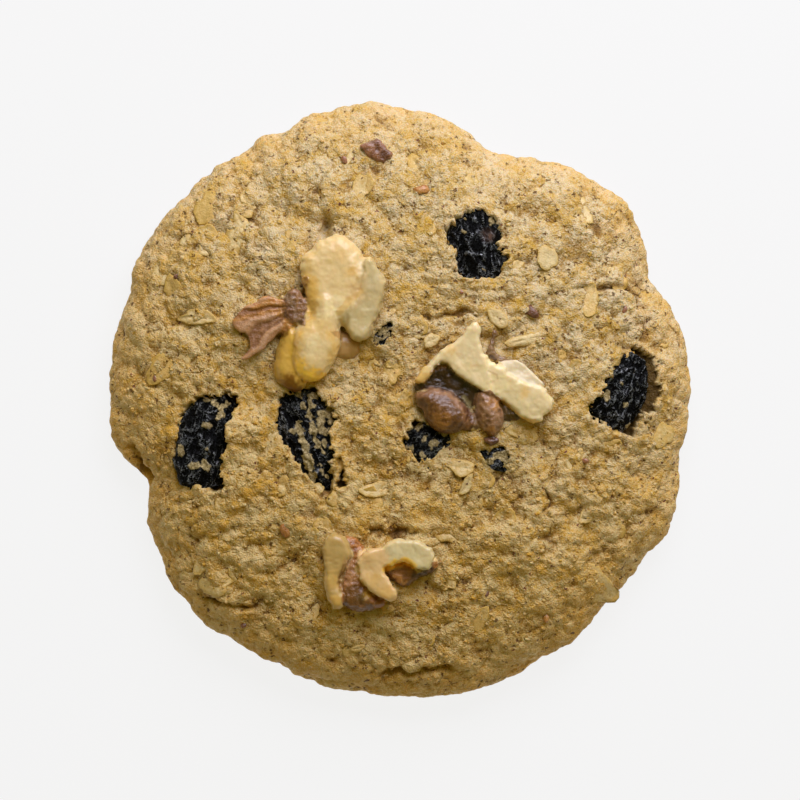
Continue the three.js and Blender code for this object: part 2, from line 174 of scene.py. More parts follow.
dough = {
    "radius": 40.2, "height": 12.4, "widestAt": 3.6, "undercut": 2.0,
    "topFlatness": 3.6, "edgeRoundness": 1.7,
    "rimLobes": [  # direction and spread in degrees, how far out
        (24, 8, -1.3), (43, 9, 1.2), (68, 10, -3.5), (97, 9, 0.9), (108, 3, 1.1), (117, 3, 0.9),
        (136, 16, 0.8), (153, 5, 0.6), (183, 8, -0.4), (198, 6, -3.6), (209, 6, -1.2), (232, 5, 0.9),
        (262, 12, 0.5), (290, 16, 1.4), (315, 7, -0.4), (336, 5, 0.9), (349, 6, -0.6),
    ],
    "topRings": 150, "sideRings": 24, "underRings": (0.985, 0.94, 0.8, 0.55, 0.3), "underArc": 0.985,
    "solidRings": (24, 4),  # as the solid has them, for the middle of its outline
    "swell": (17, 1.1, 5), "swellFade": 4,
    "crags": [(6.2, 1.9, 3), (3.2, 0.95, 8)],  # cell size, height, seed
    "crumb": [(1.75, 0.62, 31), (0.95, 0.4, 37)],
    "shaggy": [(2.6, 0.14, 41), (1.3, 0.07, 42), (0.6, 0.06, 43)],
    "moundMean": 0.72, "cragShare": 0.72, "rimCalm": 0.3, "calmFrom": 0.88, "calmTo": 0.98,
    "reliefFrom": 0.2, "reliefTo": 0.6,  # how far up a place has to face for hills and cracks
    "wander": [(2.2, 0.8), (0.9, 0.4)], "wanderSeed": 61,  # size and reach of what bends them
    "crackEnds": 0.15, "hollowSteepness": 1.5,
    "pitLevel": 0.5, "pitCrag": 0.6, "pitFine": 0.8, "pitCrack": 0.5,
    "clumpTone": 0.55, "brownFrom": 0.78, "brownMost": 0.6, "brownBelow": 7, "brownestBelow": 1,
    # where the painted shade on the lower left side starts and ends, and how much x leans it
    "shadeSideFrom": 25, "shadeSideTo": -20, "shadeSideLean": 0.35,
    "stains": [  # x, y, half width, share
        (14.4, -9.0, 2.8, 0.5), (-2.3, 9.2, 2.0, 0.5), (-15.4, -17.5, 1.6, 0.35),
    ],
    "hills": [  # x, y, half width, height
        (-20.8, -4.5, 3.6, 1.1), (-24.8, 9.0, 5.0, 0.3), (8.0, 27.0, 6.0, 0.5), (37.0, 3.0, 3.0, 0.4),
        (-8.5, 27.0, 3.4, 0.9), (-6.8, 24.6, 2.6, 0.8), (22.0, -26.0, 5.0, 0.5), (-25.5, -25.0, 3.0, 0.9),
        (-19.0, -13.5, 6.5, 0.7),
    ],
    "hollows": [  # x, y, half width, depth
        (-10.1, 23.5, 1.1, 2.3), (3.4, -24.6, 3.2, 1.2), (-3.0, -29.5, 3.0, 0.5), (13.4, 7.2, 2.2, 1.2),
        (20.6, 3.4, 2.2, 0.7), (-4.6, 6.5, 2.0, 0.9), (-15.5, -23.5, 6.0, 0.8), (10.0, -10.5, 4.0, 0.5),
    ],
    "cracks": [  # path, half width, depth
        ([(22.1, 15.7), (28.2, 15.9), (33.1, 14.4), (34.2, 10.9), (33.5, 6.8)], 0.35, 1.0),
        ([(0.7, 11.9), (5.5, 11.2), (12.0, 12.3)], 0.4, 0.9),
        ([(-27.5, -26.4), (-23.5, -27.9), (-19.0, -28.7)], 0.5, 1.0),
        ([(-37.7, -6.1), (-36.5, -9.1), (-34.6, -11.9)], 0.6, 1.2),
        ([(-3.0, -37.3), (2.1, -38.0), (8.3, -37.1)], 0.6, 1.2),
        ([(20.1, -12.6), (20.9, -14.2), (20.4, -16.0)], 0.3, 0.9),
        ([(-5.0, -18.0), (-1.0, -18.6), (3.4, -18.0)], 0.4, 1.0),
    ],
}


def rimRadius(angle):
    # radius + sum of out exp(-(turn away / spread)^2)
    radius = np.full(np.shape(angle), dough["radius"])
    for at, spread, out in dough["rimLobes"]:
        away = (np.degrees(angle) - at + 540) % 360 - 180
        radius = radius + out * np.exp(-((away / spread) ** 2))
    return radius


def domeHeight(share):
    # widestAt + (height - widestAt) (1 - share^topFlatness)^(1 / edgeRoundness)
    rise = (1 - np.minimum(share, 1) ** dough["topFlatness"]) ** (1 / dough["edgeRoundness"])
    return dough["widestAt"] + (dough["height"] - dough["widestAt"]) * rise


def swellHeight(x, y, share):
    # noise (1 - share^swellFade), so that it dies out towards the rim
    return noiseSum(flatPlaces(x, y), [dough["swell"]]) * (1 - share ** dough["swellFade"])


def topHeight(x, y):
    # the dome with its swells, without crags
    share = np.hypot(x, y) / rimRadius(np.arctan2(y, x))
    return domeHeight(share) + swellHeight(x, y, share)


def sectionLine(steps=400):
    # from the top's middle over the dome to the widest line, then a quarter ellipse to z = 0
    share = np.sin(np.linspace(0, np.pi / 2, steps)) ** (2 / dough["topFlatness"])
    turn = np.linspace(0, np.pi / 2, steps)[1:]
    under = 1 - dough["undercut"] / dough["radius"] * (1 - np.cos(turn))
    height = np.append(domeHeight(share), dough["widestAt"] * (1 - np.sin(turn)))
    share = np.append(share, under)
    strides = np.hypot(np.diff(share) * dough["radius"], np.diff(height))
    arc = np.append(0, np.cumsum(strides))
    outward = np.stack([-np.gradient(height), np.gradient(share * dough["radius"])], axis=1)
    outward /= np.linalg.norm(outward, axis=1)[:, None]
    return arc / arc[-1], share, height, outward


def doughPoints(angle, arc, octaves):
    # the section's point at arc, turned to angle and pushed out by
    # sum of height (mounds - moundMean) min(1, z / widestAt); also that push for each octave
    line, shares, heights, outwards = sectionLine()
    share, height = np.interp(arc, line, shares), np.interp(arc, line, heights)
    out, up = np.interp(arc, line, outwards[:, 0]), np.interp(arc, line, outwards[:, 1])
    radius = share * rimRadius(angle)
    base = np.stack([radius * np.cos(angle), radius * np.sin(angle), height], axis=1)
    settled = np.minimum(1, height / dough["widestAt"])
    outward = np.stack([out * np.cos(angle), out * np.sin(angle), up], axis=1)
    pushes = [high * (mounds(base, size, seed)[0] - dough["moundMean"]) * settled
              for size, high, seed in octaves]
    lifted = base + np.outer(swellHeight(base[:, 0], base[:, 1], share) * settled, [0, 0, 1])
    return lifted, outward, settled, share, base, pushes


def discRings(topRings, sideRings, edgeRings=()):
    # angle and arc of each point, ring k of the top with 6k points, and the triangles between;
    # the rings of the underside close it towards its middle
    rings = topRings + sideRings
    counts = [1] + [6 * min(k, topRings) for k in range(1, rings + 1)] + [6 * topRings] * len(edgeRings)
    starts = np.cumsum([0] + counts)
    angle = np.concatenate([2 * np.pi * np.arange(n) / n for n in counts] + [[0]])
    arc = np.concatenate([np.full(n, min(k / rings, 1.0)) for k, n in enumerate(counts)] + [[1]])
    inward = np.ones(len(arc))
    for n, share in enumerate(edgeRings):
        first = starts[rings + 1 + n]
        inward[first:first + 6 * topRings] = share
    inward[-1] = 0
    triangles = []
    for k in range(1, len(counts)):
        if k <= topRings:
            sector, i = np.divmod(np.arange(6 * k), k)
            outer = starts[k] + np.arange(6 * k)
            after = starts[k] + (np.arange(6 * k) + 1) % (6 * k)
            ringBefore = max(6 * (k - 1), 1)
            inner = starts[k - 1] + (sector * (k - 1) + i) % ringBefore
            innerAfter = starts[k - 1] + (sector * (k - 1) + i + 1) % ringBefore
            triangles.append(np.stack([inner, outer, after], axis=1))
            inside = i < k - 1
            triangles.append(np.stack([inner, after, innerAfter], axis=1)[inside])
        else:
            i = np.arange(counts[k])
            inner, innerAfter = starts[k - 1] + i, starts[k - 1] + (i + 1) % counts[k]
            outer, after = starts[k] + i, starts[k] + (i + 1) % counts[k]
            triangles.append(np.stack([inner, outer, after], axis=1))
            triangles.append(np.stack([inner, after, innerAfter], axis=1))
    last = starts[len(counts) - 1] + np.arange(counts[-1])
    middle = np.full(counts[-1], starts[-1])
    triangles.append(np.stack([last, middle, np.roll(last, -1)], axis=1))
    return angle, arc, inward, np.concatenate(triangles)


def outlineMiddle():
    # the middle of the outline's box, as the solids have it over the origin
    angle, arc, inward, faces = discRings(*dough["solidRings"])
    lifted, outward, settled, share, base, pushes = doughPoints(angle, arc, dough["crags"])
    points = lifted + outward * sum(pushes)[:, None]
    return (points.max(axis=0) + points.min(axis=0)) / 2


outlineShift = -outlineMiddle() * [1, 1, 0]


# Raisins: the middle, half sizes and turn of each, and the window where the dough lets it show.
# Patches of dough left on it are x, y, half length, half width and turn; strips of dough and slits
# in it are a path and a half width. A wall is where the window's far side starts and ends to rise.

raisins = {
    "raisin_left": {
        "at": (-26.2, -5.9), "long": 7.3, "wide": 4.7, "thick": 3.0, "turn": 76, "lift": -1.9,
        "window": [(-30.6, -6.3), (-29.8, -1.8), (-28.2, -0.2), (-26.4, 0.4), (-24.2, 0.7), (-22.2, 0.5),
                   (-22.6, -1.6), (-23.8, -3.7), (-23.8, -6.3), (-24.7, -9.4), (-24.4, -12.1),
                   (-26.1, -12.0), (-28.2, -11.3), (-30.0, -10.7), (-30.5, -8.7)],
        "patches": [(-26.4, -3.4, 0.45, 0.4, 0), (-28.0, -9.0, 0.8, 0.6, 20), (-26.6, -8.9, 0.7, 0.6, -20),
                    (-29.9, -7.1, 0.5, 0.8, 0), (-26.0, 0.0, 0.9, 0.35, 10), (-24.4, -1.9, 0.5, 0.8, -20),
                    (-26.3, -6.6, 0.2, 0.4, 0)],
        "strips": [([(-25.6, -0.4), (-24.6, -1.0), (-23.2, -0.4)], 0.45)],
    },
    "raisin_middle": {
        "at": (-12.3, -5.3), "long": 7.5, "wide": 4.7, "thick": 3.0, "turn": 109, "lift": -1.9,
        "window": [(-15.9, 0.8), (-13.4, 1.3), (-11.6, 1.7), (-10.6, -0.2), (-9.2, -0.9), (-9.0, -2.6),
                   (-9.7, -4.4), (-9.3, -6.3), (-9.5, -9.5), (-9.2, -11.2), (-9.5, -12.3), (-12.1, -11.3),
                   (-13.4, -9.5), (-14.5, -7.4), (-16.1, -5.1), (-16.8, -3.7), (-16.6, -1.6)],
        "patches": [(-10.3, -7.3, 0.35, 0.4, 0), (-14.6, -4.3, 0.6, 0.35, 50), (-10.0, -10.4, 0.4, 0.3, 0)],
        "strips": [
            ([(-12.2, 0.5), (-12.2, -1.4), (-12.0, -3.6)], 0.5),
            ([(-11.8, -4.3), (-11.5, -5.4), (-11.1, -6.5)], 0.42),
            ([(-10.9, -1.6), (-10.6, -3.0), (-10.3, -4.4)], 0.5), ([(-10.5, -4.6), (-10.1, -6.4)], 0.22),
            ([(-13.7, -3.6), (-13.2, -5.2), (-12.7, -6.7)], 0.5),
            ([(-12.9, -6.9), (-12.3, -8.8), (-11.8, -10.6)], 0.62),
            ([(-10.8, -8.9), (-10.4, -10.3)], 0.34), ([(-13.9, 1.2), (-13.2, 0.0), (-12.9, -1.0)], 0.3),
            ([(-11.3, 1.8), (-10.0, 0.3)], 0.4), ([(-9.6, -1.4), (-9.6, -3.6)], 0.35),
            ([(-11.0, 1.8), (-11.6, 0.6)], 0.3),
        ],
        "slits": [([(-8.2, -8.0), (-7.8, -9.4), (-8.0, -11.3)], 0.2), ([(-8.1, -11.5), (-7.7, -11.6)], 0.5)],
    },
    "raisin_upper": {
        "at": (10.9, 20.7), "long": 5.9, "wide": 4.4, "thick": 2.8, "turn": 100, "lift": -1.9,
        "window": [(6.3, 22.5), (7.7, 24.2), (9.2, 25.5), (11.0, 25.8), (12.4, 25.4), (13.5, 24.0),
                   (13.5, 20.8), (15.0, 19.6), (14.0, 18.2), (12.9, 17.3), (10.6, 16.3), (9.0, 17.2),
                   (7.9, 18.1), (7.7, 20.6)],
        "patches": [(12.7, 24.6, 0.4, 0.3, 0), (8.6, 23.2, 0.35, 0.25, 40), (11.3, 18.0, 0.25, 0.2, 0)],
    },
    "raisin_right": {
        "at": (29.7, 0.6), "long": 6.6, "wide": 3.9, "thick": 2.9, "turn": 62, "lift": -2.3,
        "window": [(26.4, -0.8), (28.0, 1.1), (28.5, 2.4), (30.4, 5.0), (33.0, 7.2), (34.2, 6.4),
                   (35.5, 5.0), (35.7, 2.9), (35.4, 0.8), (35.1, -1.5), (33.6, -2.0), (33.0, -5.0),
                   (31.4, -4.9), (29.8, -4.2), (28.8, -3.3), (26.9, -2.6)],
        "wall": (32.6, 35.2),
        "patches": [(30.3, 2.4, 0.3, 0.35, 0), (28.7, 1.0, 0.35, 0.25, 40), (28.0, 0.9, 0.9, 0.4, -40),
                    (31.6, -4.4, 0.5, 1.0, 0), (31.0, -0.5, 0.2, 0.2, 0)],
    },
    "raisin_centre": {
        "at": (4.0, -6.2), "long": 4.3, "wide": 3.2, "thick": 2.2, "turn": 50, "lift": -1.5,
        "window": [(0.6, -5.7), (1.7, -4.0), (2.3, -2.6), (3.5, -3.4), (7.6, -4.0), (6.6, -5.2),
                   (5.5, -6.3), (4.4, -7.7), (3.5, -8.1), (2.1, -7.3)],
        "patches": [(2.6, -3.6, 0.8, 0.5, 60), (4.9, -5.9, 0.9, 0.5, 50), (3.2, -7.2, 0.6, 0.35, 0),
                    (1.6, -6.6, 0.4, 0.3, 0), (6.4, -4.4, 0.8, 0.5, 10), (3.4, -5.4, 0.4, 0.3, 20)],
    },
    "raisin_crest": {
        "at": (13.2, -7.9), "long": 2.6, "wide": 1.9, "thick": 1.8, "turn": 150, "lift": -1.0,
        "window": [(11.6, -7.3), (12.7, -6.8), (14.9, -7.0), (14.6, -8.1), (13.1, -8.8), (12.0, -8.1)],
        "patches": [(13.6, -7.5, 1.3, 0.5, 10), (12.6, -8.2, 0.6, 0.35, 30), (14.3, -8.0, 0.6, 0.5, 0)],
    },
    "raisin_buried": {
        "at": (-2.4, 9.2), "long": 2.5, "wide": 1.9, "thick": 1.8, "turn": 60, "lift": -1.0,
        "window": [(-3.3, 8.8), (-2.2, 10.2), (-1.1, 10.2), (-1.4, 8.4), (-2.8, 7.9)],
        "patches": [(-2.2, 9.4, 1.0, 0.7, 20), (-1.6, 9.0, 0.5, 0.6, 0), (-2.9, 8.5, 0.4, 0.4, 0)],
    },
}
windowEdge = {
    "noise": [(0.65, 1.0, 51), (0.65 / 2.3, 0.6, 52)], "ragged": 0.5, "slitRagged": 0.1, "soft": 0.15,
    "depth": 2.3, "lip": 0.3, "lipWide": 1.6, "wallRise": 0.6, "near": 3,
}
filmEdge = {"noise": [(0.7, 1.0, 53), (0.32, 0.8, 54)], "ragged": 0.34, "shrink": 0.05, "soft": 0.05}


def filmShare(x, y, raisin):
    # 1 where a film of dough is left on the raisin: ovals and strips with ragged edges
    rough = noiseSum(flatPlaces(x, y), filmEdge["noise"])
    film = np.full(len(x), -9.0)
    for px, py, long, wide, turn in raisin["patches"]:
        c, s = math.cos(math.radians(turn)), math.sin(math.radians(turn))
        u, v = (x - px) * c + (y - py) * s, (y - py) * c - (x - px) * s
        film = np.maximum(film, (1 - np.hypot(u / long, v / wide)) * min(long, wide))
    for path, half in raisin.get("strips", []):
        film = np.maximum(film, half - pathDistance(x, y, path)[0])
    soft = filmEdge["soft"]
    return softStep(-soft, soft, film + filmEdge["ragged"] * rough - filmEdge["shrink"])


def windowShare(x, y, raisin):
    # 1 where the raisin shows, 0 where dough lies over it; also the distance inside the window
    inside = outlineDistance(x, y, np.array(raisin["window"]))
    rough = noiseSum(flatPlaces(x, y), windowEdge["noise"])
    edge = inside + windowEdge["ragged"] * rough
    for path, half in raisin.get("slits", []):
        slit = half - pathDistance(x, y, path)[0]
        edge = np.maximum(edge, slit + windowEdge["slitRagged"] * rough)
    return softStep(-windowEdge["soft"], windowEdge["soft"], edge), inside


def reliefPush(x, y):
    # hills less hollows, cracks and the windows' pits, out from the dough; also how far each
    # place lies in a crack and in a window. A hill is high exp(-(d / wide)^2), a crack the same
    # across its path, and a hollow exp(-((d / wide)^2)^hollowSteepness)
    push = np.zeros(len(x))
    flat = flatPlaces(x, y)
    warpX, warpY = x, y
    for n, (size, reach) in enumerate(dough["wander"]):
        warpX = warpX + reach * valueNoise(flat, size, dough["wanderSeed"] + 2 * n)
        warpY = warpY + reach * valueNoise(flat, size, dough["wanderSeed"] + 2 * n + 1)
    for hx, hy, wide, high in dough["hills"]:
        push += high * np.exp(-((warpX - hx) ** 2 + (warpY - hy) ** 2) / wide ** 2)
    for hx, hy, wide, deep in dough["hollows"]:
        away = ((warpX - hx) ** 2 + (warpY - hy) ** 2) / wide ** 2
        push -= deep * np.exp(-(away ** dough["hollowSteepness"]))
    cracked = np.zeros(len(x))
    for path, wide, deep in dough["cracks"]:
        away, along = pathDistance(warpX, warpY, path)
        ends = softStep(0, dough["crackEnds"], along) * softStep(0, dough["crackEnds"], 1 - along)
        cut = np.exp(-((away / wide) ** 2)) * ends
        push -= deep * cut
        cracked = np.maximum(cracked, cut)
    shown = np.zeros(len(x))
    for raisin in raisins.values():
        near = np.hypot(x - raisin["at"][0], y - raisin["at"][1]) < windowEdge["near"] * raisin["long"]
        shows, inside = windowShare(x[near], y[near], raisin)
        lip = windowEdge["lip"] * np.exp(-((np.minimum(inside, 0) / windowEdge["lipWide"]) ** 2))
        slope = 1
        if "wall" in raisin:
            wallFrom, wallTo = raisin["wall"]
            slope = 1 - windowEdge["wallRise"] * np.clip((x[near] - wallFrom) / (wallTo - wallFrom), 0, 1)
        push[near] += lip - (lip + windowEdge["depth"]) * shows * slope
        shown[near] = np.maximum(shown[near], shows)
    return push, cracked, shown


def shadeSideShare(x, y):
    # painted shade on one side: darker and warmer towards the lower left, 0 to 1 as y plus the lean times x
    # falls from the first level to the second
    return softStep(dough["shadeSideFrom"], dough["shadeSideTo"], y + dough["shadeSideLean"] * x)


def rimBrown(share):
    # brownMost from brownFrom of the way out
    return softStep(dough["brownFrom"], 1.0, share) * dough["brownMost"]


def addDough():
    # the section turned round the middle, pushed out by crags, crumb, noise and the relief; also
    # what the crumbs and the colours need to know of each place
    angle, arc, inward, faces = discRings(dough["topRings"], dough["sideRings"], dough["underRings"])
    lifted, outward, settled, share, base, pushes = doughPoints(angle, arc, dough["crags"] + dough["crumb"])
    top = softStep(dough["reliefFrom"], dough["reliefTo"], outward[:, 2])
    relief, cracked, shown = reliefPush(base[:, 0], base[:, 1])
    calm = 1 - dough["rimCalm"] * softStep(dough["calmFrom"], dough["calmTo"], share)
    fine = (pushes[2] + pushes[3] + noiseSum(base, dough["shaggy"]) * settled) * (1 - shown) * calm
    push = dough["cragShare"] * (pushes[0] + pushes[1] * calm) + fine + relief * top
    points = lifted + outward * push[:, None]
    points[:, :2] *= inward[:, None]
    (clumpSize, _, clumpSeed), (crumbSize, _, crumbSeed) = dough["crags"][1], dough["crumb"][0]
    clump, crumb = mounds(base, clumpSize, clumpSeed)[1], mounds(base, crumbSize, crumbSeed)[1]
    low = dough["brownMost"] * softStep(dough["brownBelow"], dough["brownestBelow"], points[:, 2])
    # cavity: how deep a place lies in crags, crumb and cracks; the material paints shade there as a darker,
    # browner color
    pit = dough["pitLevel"] - dough["pitCrag"] * pushes[1] - dough["pitFine"] * fine
    attributes = {
        "cavity": pit + dough["pitCrack"] * cracked,
        "tone": dough["clumpTone"] * clump + (1 - dough["clumpTone"]) * crumb,
        "brown": rimBrown(share) + low,
        "open": shown,
        # how much of the painted shade on the lower left side falls here
        "bake": shadeSideShare(base[:, 0], base[:, 1]),
        "stain": sum(most * np.exp(-((base[:, 0] - sx) ** 2 + (base[:, 1] - sy) ** 2) / wide ** 2)
                     for sx, sy, wide, most in dough["stains"]),
    }
    piece = addMesh("cookieDough", points, faces, attributes)
    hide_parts("cookie")
    onTop = (inward == 1) & (arc < dough["underArc"])
    return piece, {"points": points, "normals": meshNormals(points, faces), "share": share, "open": shown,
                   "onTop": onTop, "cavity": attributes["cavity"]}


doughPiece, seats = addDough()
print("dough:", len(doughPiece.data.polygons), "triangles")


# Oat flakes, thin ovals with a crease along them, and crumbs, small uneven lumps

flakes = {
    "count": 105, "long": (1.4, 2.5), "wide": (0.9, 1.7), "paleBeta": (1.3, 2.6), "seed": 21,
    "bits": 130, "bitLong": (0.5, 1.2), "bitPaleBeta": (1.2, 2.0), "bitSeed": 22,
    "thick": 0.22, "thinning": 0.5, "cup": 0.1, "cupLong": 2, "cupWide": 1.5, "tilt": 0.17,
    "sink": (-0.6, -0.12), "reach": 0.95, "inside": 0.93, "around": 20,
    "waves": [(2, 0.11), (3, 0.10), (5, 0.06), (8, 0.05)],  # how often round the rim, and how far
    "bite": 0.45, "biteWide": 0.5, "creaseDeep": 0.16, "creaseWide": 0.16, "follow": 0.75,
    "bridge": 0.6, "offRaisins": 0.5, "offWalnuts": 0.7, "shapeSeed": 5, "bitShapeSeed": 6,
    "profile": [(0.35, 1), (0.7, 1), (0.93, 1), (1.0, 0), (0.9, -1), (0.5, -1)],  # ring and side
    "marked": [  # x, y, half length, half width, turn, lift, paleness
        (20.4, 19.5, 1.8, 1.5, 70, 0.2, 0.9), (17.8, 8.4, 3.3, 0.9, 15, 0.45, 0.8),
        (13.7, 11.2, 1.8, 1.2, -25, 0.3, 0.9), (16.8, -4.6, 2.4, 1.4, -20, 0.0, 0.5),
        (36.4, -4.8, 1.7, 1.5, 80, 0.2, 0.3), (-27.7, 11.4, 2.9, 1.0, -5, -0.1, 0.6),
        (-22.4, 22.0, 2.2, 1.5, 100, -0.2, 0.5), (-3.0, -12.2, 2.2, 1.2, 10, 0.0, 0.6),
        (-25.1, -25.3, 2.6, 1.6, 10, 0.05, 0.5), (9.3, -11.6, 1.7, 0.7, 55, 0.3, 0.9),
        (8.6, -9.2, 2.0, 1.1, -10, 0.1, 0.5), (27.2, -25.4, 3.2, 2.4, -30, 0.0, 0.5),
        (4.4, 8.2, 1.3, 0.9, 20, 0.15, 0.9),
    ],
}
crumbs = {
    "count": 2400, "size": (0.16, 0.42), "sizeBeta": (1.2, 3.0), "sink": 0.35, "reach": 0.95, "seed": 33,
    "squeeze": (0.6, 1.3), "lumpy": 0.12, "lumps": 3.1, "clear": 1.4, "hidden": 0.05,
    "pitShare": 0.45, "pitBelow": 0.12,
}


def flakeTemplate(around):
    # rings of an oval u = r cos t, v = r sin t over the top, and back under it to the middle
    rings = flakes["profile"]
    turn = 2 * np.pi * np.arange(around) / around
    u = np.concatenate([[0]] + [r * np.cos(turn) for r, side in rings] + [[0]])
    v = np.concatenate([[0]] + [r * np.sin(turn) for r, side in rings] + [[0]])
    side = np.concatenate([[1]] + [np.full(around, s) for r, s in rings] + [[-1]])
    i = np.arange(around)
    after = (i + 1) % around
    triangles = [np.stack([i * 0, 1 + i, 1 + after], axis=1)]
    for k in range(len(rings) - 1):
        a, b = 1 + k * around, 1 + (k + 1) * around
        triangles.append(np.stack([a + i, b + i, b + after], axis=1))
        triangles.append(np.stack([a + i, b + after, a + after], axis=1))
    last = 1 + (len(rings) - 1) * around
    triangles.append(np.stack([last + i, i * 0 + len(u) - 1, last + after], axis=1))
    return u, v, side, np.concatenate(triangles)


def addFlakes(name, spots, seed):
    # each flake is the oval with a rim 1 + sum of waves less one bite, laid on the coarse dough,
    # cup (a u^2 - b v^2) and tilt added, and a crease -deep exp(-(v / wide)^2) along its top
    u0, v0, side, triangles = flakeTemplate(flakes["around"])
    draw = np.random.default_rng(seed)
    x, y, long, wide, turn, lift, pale = [column[:, None] for column in spots.T]
    count = len(spots)
    angle = np.arctan2(v0, u0)[None]
    phase = draw.uniform(0, 2 * np.pi, (count, 3, 1))
    rim = np.ones((count, 1))
    for n, (times, out) in enumerate(flakes["waves"]):
        rim = rim + out * np.sin(times * angle + (1 + n // 3) * phase[:, n % 3])
    bite = np.abs(np.angle(np.exp(1j * (angle - phase[:, 1]))))
    rim = rim - draw.uniform(0, flakes["bite"], (count, 1)) * np.exp(-((bite / flakes["biteWide"]) ** 2))
    u, v = u0[None] * rim * long, v0[None] * rim * wide
    radius = np.hypot(u0, v0)[None]
    c, s = np.cos(turn), np.sin(turn)
    px, py = x + u * c - v * s, y + u * s + v * c
    ground = coarseHeight(px.ravel(), py.ravel()).reshape(px.shape)
    level = ground.mean(axis=1)[:, None]
    ground = level + flakes["follow"] * (ground - level)
    tilt = draw.uniform(-1, 1, (2, count, 1)) * flakes["tilt"]
    crease = -flakes["creaseDeep"] * np.exp(-((v0 / flakes["creaseWide"]) ** 2))[None] * (1 - radius ** 2)
    body = flakes["thick"] * (0.5 * side * (1 - flakes["thinning"] * radius ** 3))
    body = body + np.where(side > 0, crease, 0)
    cup = u0[None] ** 2 * draw.uniform(-1, flakes["cupLong"], (count, 1))
    cup = flakes["cup"] * (cup - v0[None] ** 2 * draw.uniform(-1, flakes["cupWide"], (count, 1)))
    pz = ground + lift + body + cup * long + tilt[0] * u + tilt[1] * v
    points = np.stack([px, py, pz], axis=2).reshape(-1, 3)
    faces = (triangles[None] + (np.arange(count) * len(u0))[:, None, None]).reshape(-1, 3)
    attributes = {
        "pale": np.broadcast_to(pale, px.shape).ravel(),
        "rim": np.broadcast_to(radius, px.shape).ravel(),
    }
    piece = addMesh(name, points, faces, attributes)
    return piece


def clearOfToppings(x, y, reach):
    # true where a flake of that reach keeps off the raisins' windows and the walnut pieces
    clear = np.ones(len(x), bool)
    for raisin in raisins.values():
        away = -outlineDistance(x, y, np.array(raisin["window"]))
        clear &= away > flakes["offRaisins"] * reach
    for piece in walnuts.values():
        for lobe in piece["lobes"]:
            away = -outlineDistance(x, y, np.array(lobe["outline"]))
            clear &= away > flakes["offWalnuts"] * reach
    return clear


def scatterFlakes(count, longRange, wideRange, paleBeta, seed):
    # even over the disc, r = reach radius sqrt(random), kept off the rim and the toppings
    draw = np.random.default_rng(seed)
    radius = flakes["reach"] * dough["radius"] * np.sqrt(draw.uniform(0, 1, count))
    turn = draw.uniform(0, 2 * np.pi, count)
    x, y = radius * np.cos(turn), radius * np.sin(turn)
    long, wide = draw.uniform(*longRange, count), draw.uniform(*wideRange, count)
    lift = draw.uniform(*flakes["sink"], count)
    pale = np.clip(draw.beta(*paleBeta, count), 0, 1)
    spots = np.stack([x, y, long, wide, draw.uniform(0, 2 * np.pi, count), lift, pale], axis=1)
    inside = radius < flakes["inside"] * rimRadius(turn)
    return spots[inside & clearOfToppings(x, y, long)]


def addCrumbs():
    # a ball of 80 faces, squeezed and turned at random, its radius 1 + lumpy sines of its direction
    draw = np.random.default_rng(crumbs["seed"])
    closed = seats["open"] < crumbs["hidden"]
    spots = np.flatnonzero(seats["onTop"] & closed & (seats["share"] < crumbs["reach"]))
    spots = draw.choice(spots, crumbs["count"], replace=False)
    spots = spots[clearOfToppings(seats["points"][spots, 0], seats["points"][spots, 1], crumbs["clear"])]
    centre, normal = seats["points"][spots], seats["normals"][spots]
    ball, triangles = ballTemplate()
    least, most = crumbs["size"]
    size = least + (most - least) * draw.beta(*crumbs["sizeBeta"], len(spots))
    squeeze = draw.uniform(*crumbs["squeeze"], (len(spots), 1, 3))
    phase = draw.uniform(0, 2 * np.pi, (len(spots), 1, 3))
    sines = np.sin(crumbs["lumps"] * ball[None] + phase).sum(axis=2, keepdims=True)
    shape = ball[None] * squeeze * (1 + crumbs["lumpy"] * sines) * size[:, None, None]
    turnX, turnZ = draw.uniform(0, 2 * np.pi, (2, len(spots)))
    turned = turnPoints(shape, turnX, turnZ)
    points = (turned + (centre - normal * crumbs["sink"] * size[:, None])[:, None]).reshape(-1, 3)
    faces = (triangles[None] + (np.arange(len(spots)) * len(ball))[:, None, None]).reshape(-1, 3)
    share = np.repeat(seats["share"][spots], len(ball))
    below = np.tile(1 - ball[:, 2], len(spots))
    # the cavity also darkens each crumb's underside, as painted shade
    attributes = {
        "cavity": crumbs["pitShare"] * np.repeat(seats["cavity"][spots],
                                                 len(ball)) + crumbs["pitBelow"] * below,
        "tone": np.repeat(draw.uniform(0, 1, len(spots)), len(ball)),
        "brown": rimBrown(share),
        # how much of the painted shade on the lower left side falls here
        "bake": shadeSideShare(points[:, 0], points[:, 1]),
    }
    piece = addMesh("doughCrumbs", points, faces, attributes)
    return piece


def ballTemplate():
    # an icosahedron whose faces are each split in four, on the unit ball
    golden = (1 + 5 ** 0.5) / 2
    corners = np.array([(-1, golden, 0), (1, golden, 0), (-1, -golden, 0), (1, -golden, 0), (0, -1, golden),
                        (0, 1, golden), (0, -1, -golden), (0, 1, -golden), (golden, 0, -1), (golden, 0, 1),
                        (-golden, 0, -1), (-golden, 0, 1)], float)
    faces = np.array([(0, 11, 5), (0, 5, 1), (0, 1, 7), (0, 7, 10), (0, 10, 11), (1, 5, 9), (5, 11, 4),
                      (11, 10, 2), (10, 7, 6), (7, 1, 8), (3, 9, 4), (3, 4, 2), (3, 2, 6), (3, 6, 8),
                      (3, 8, 9), (4, 9, 5), (2, 4, 11), (6, 2, 10), (8, 6, 7), (9, 8, 1)])
    a, b, c = corners[faces[:, 0]], corners[faces[:, 1]], corners[faces[:, 2]]
    ab, bc, ca = (a + b) / 2, (b + c) / 2, (c + a) / 2
    quarters = np.stack([a, ab, ca, ab, b, bc, ca, bc, c, ab, bc, ca], axis=1).reshape(-1, 3)
    points, number = np.unique(quarters.round(6), axis=0, return_inverse=True)
    return points / np.linalg.norm(points, axis=1)[:, None], number.reshape(-1, 3)


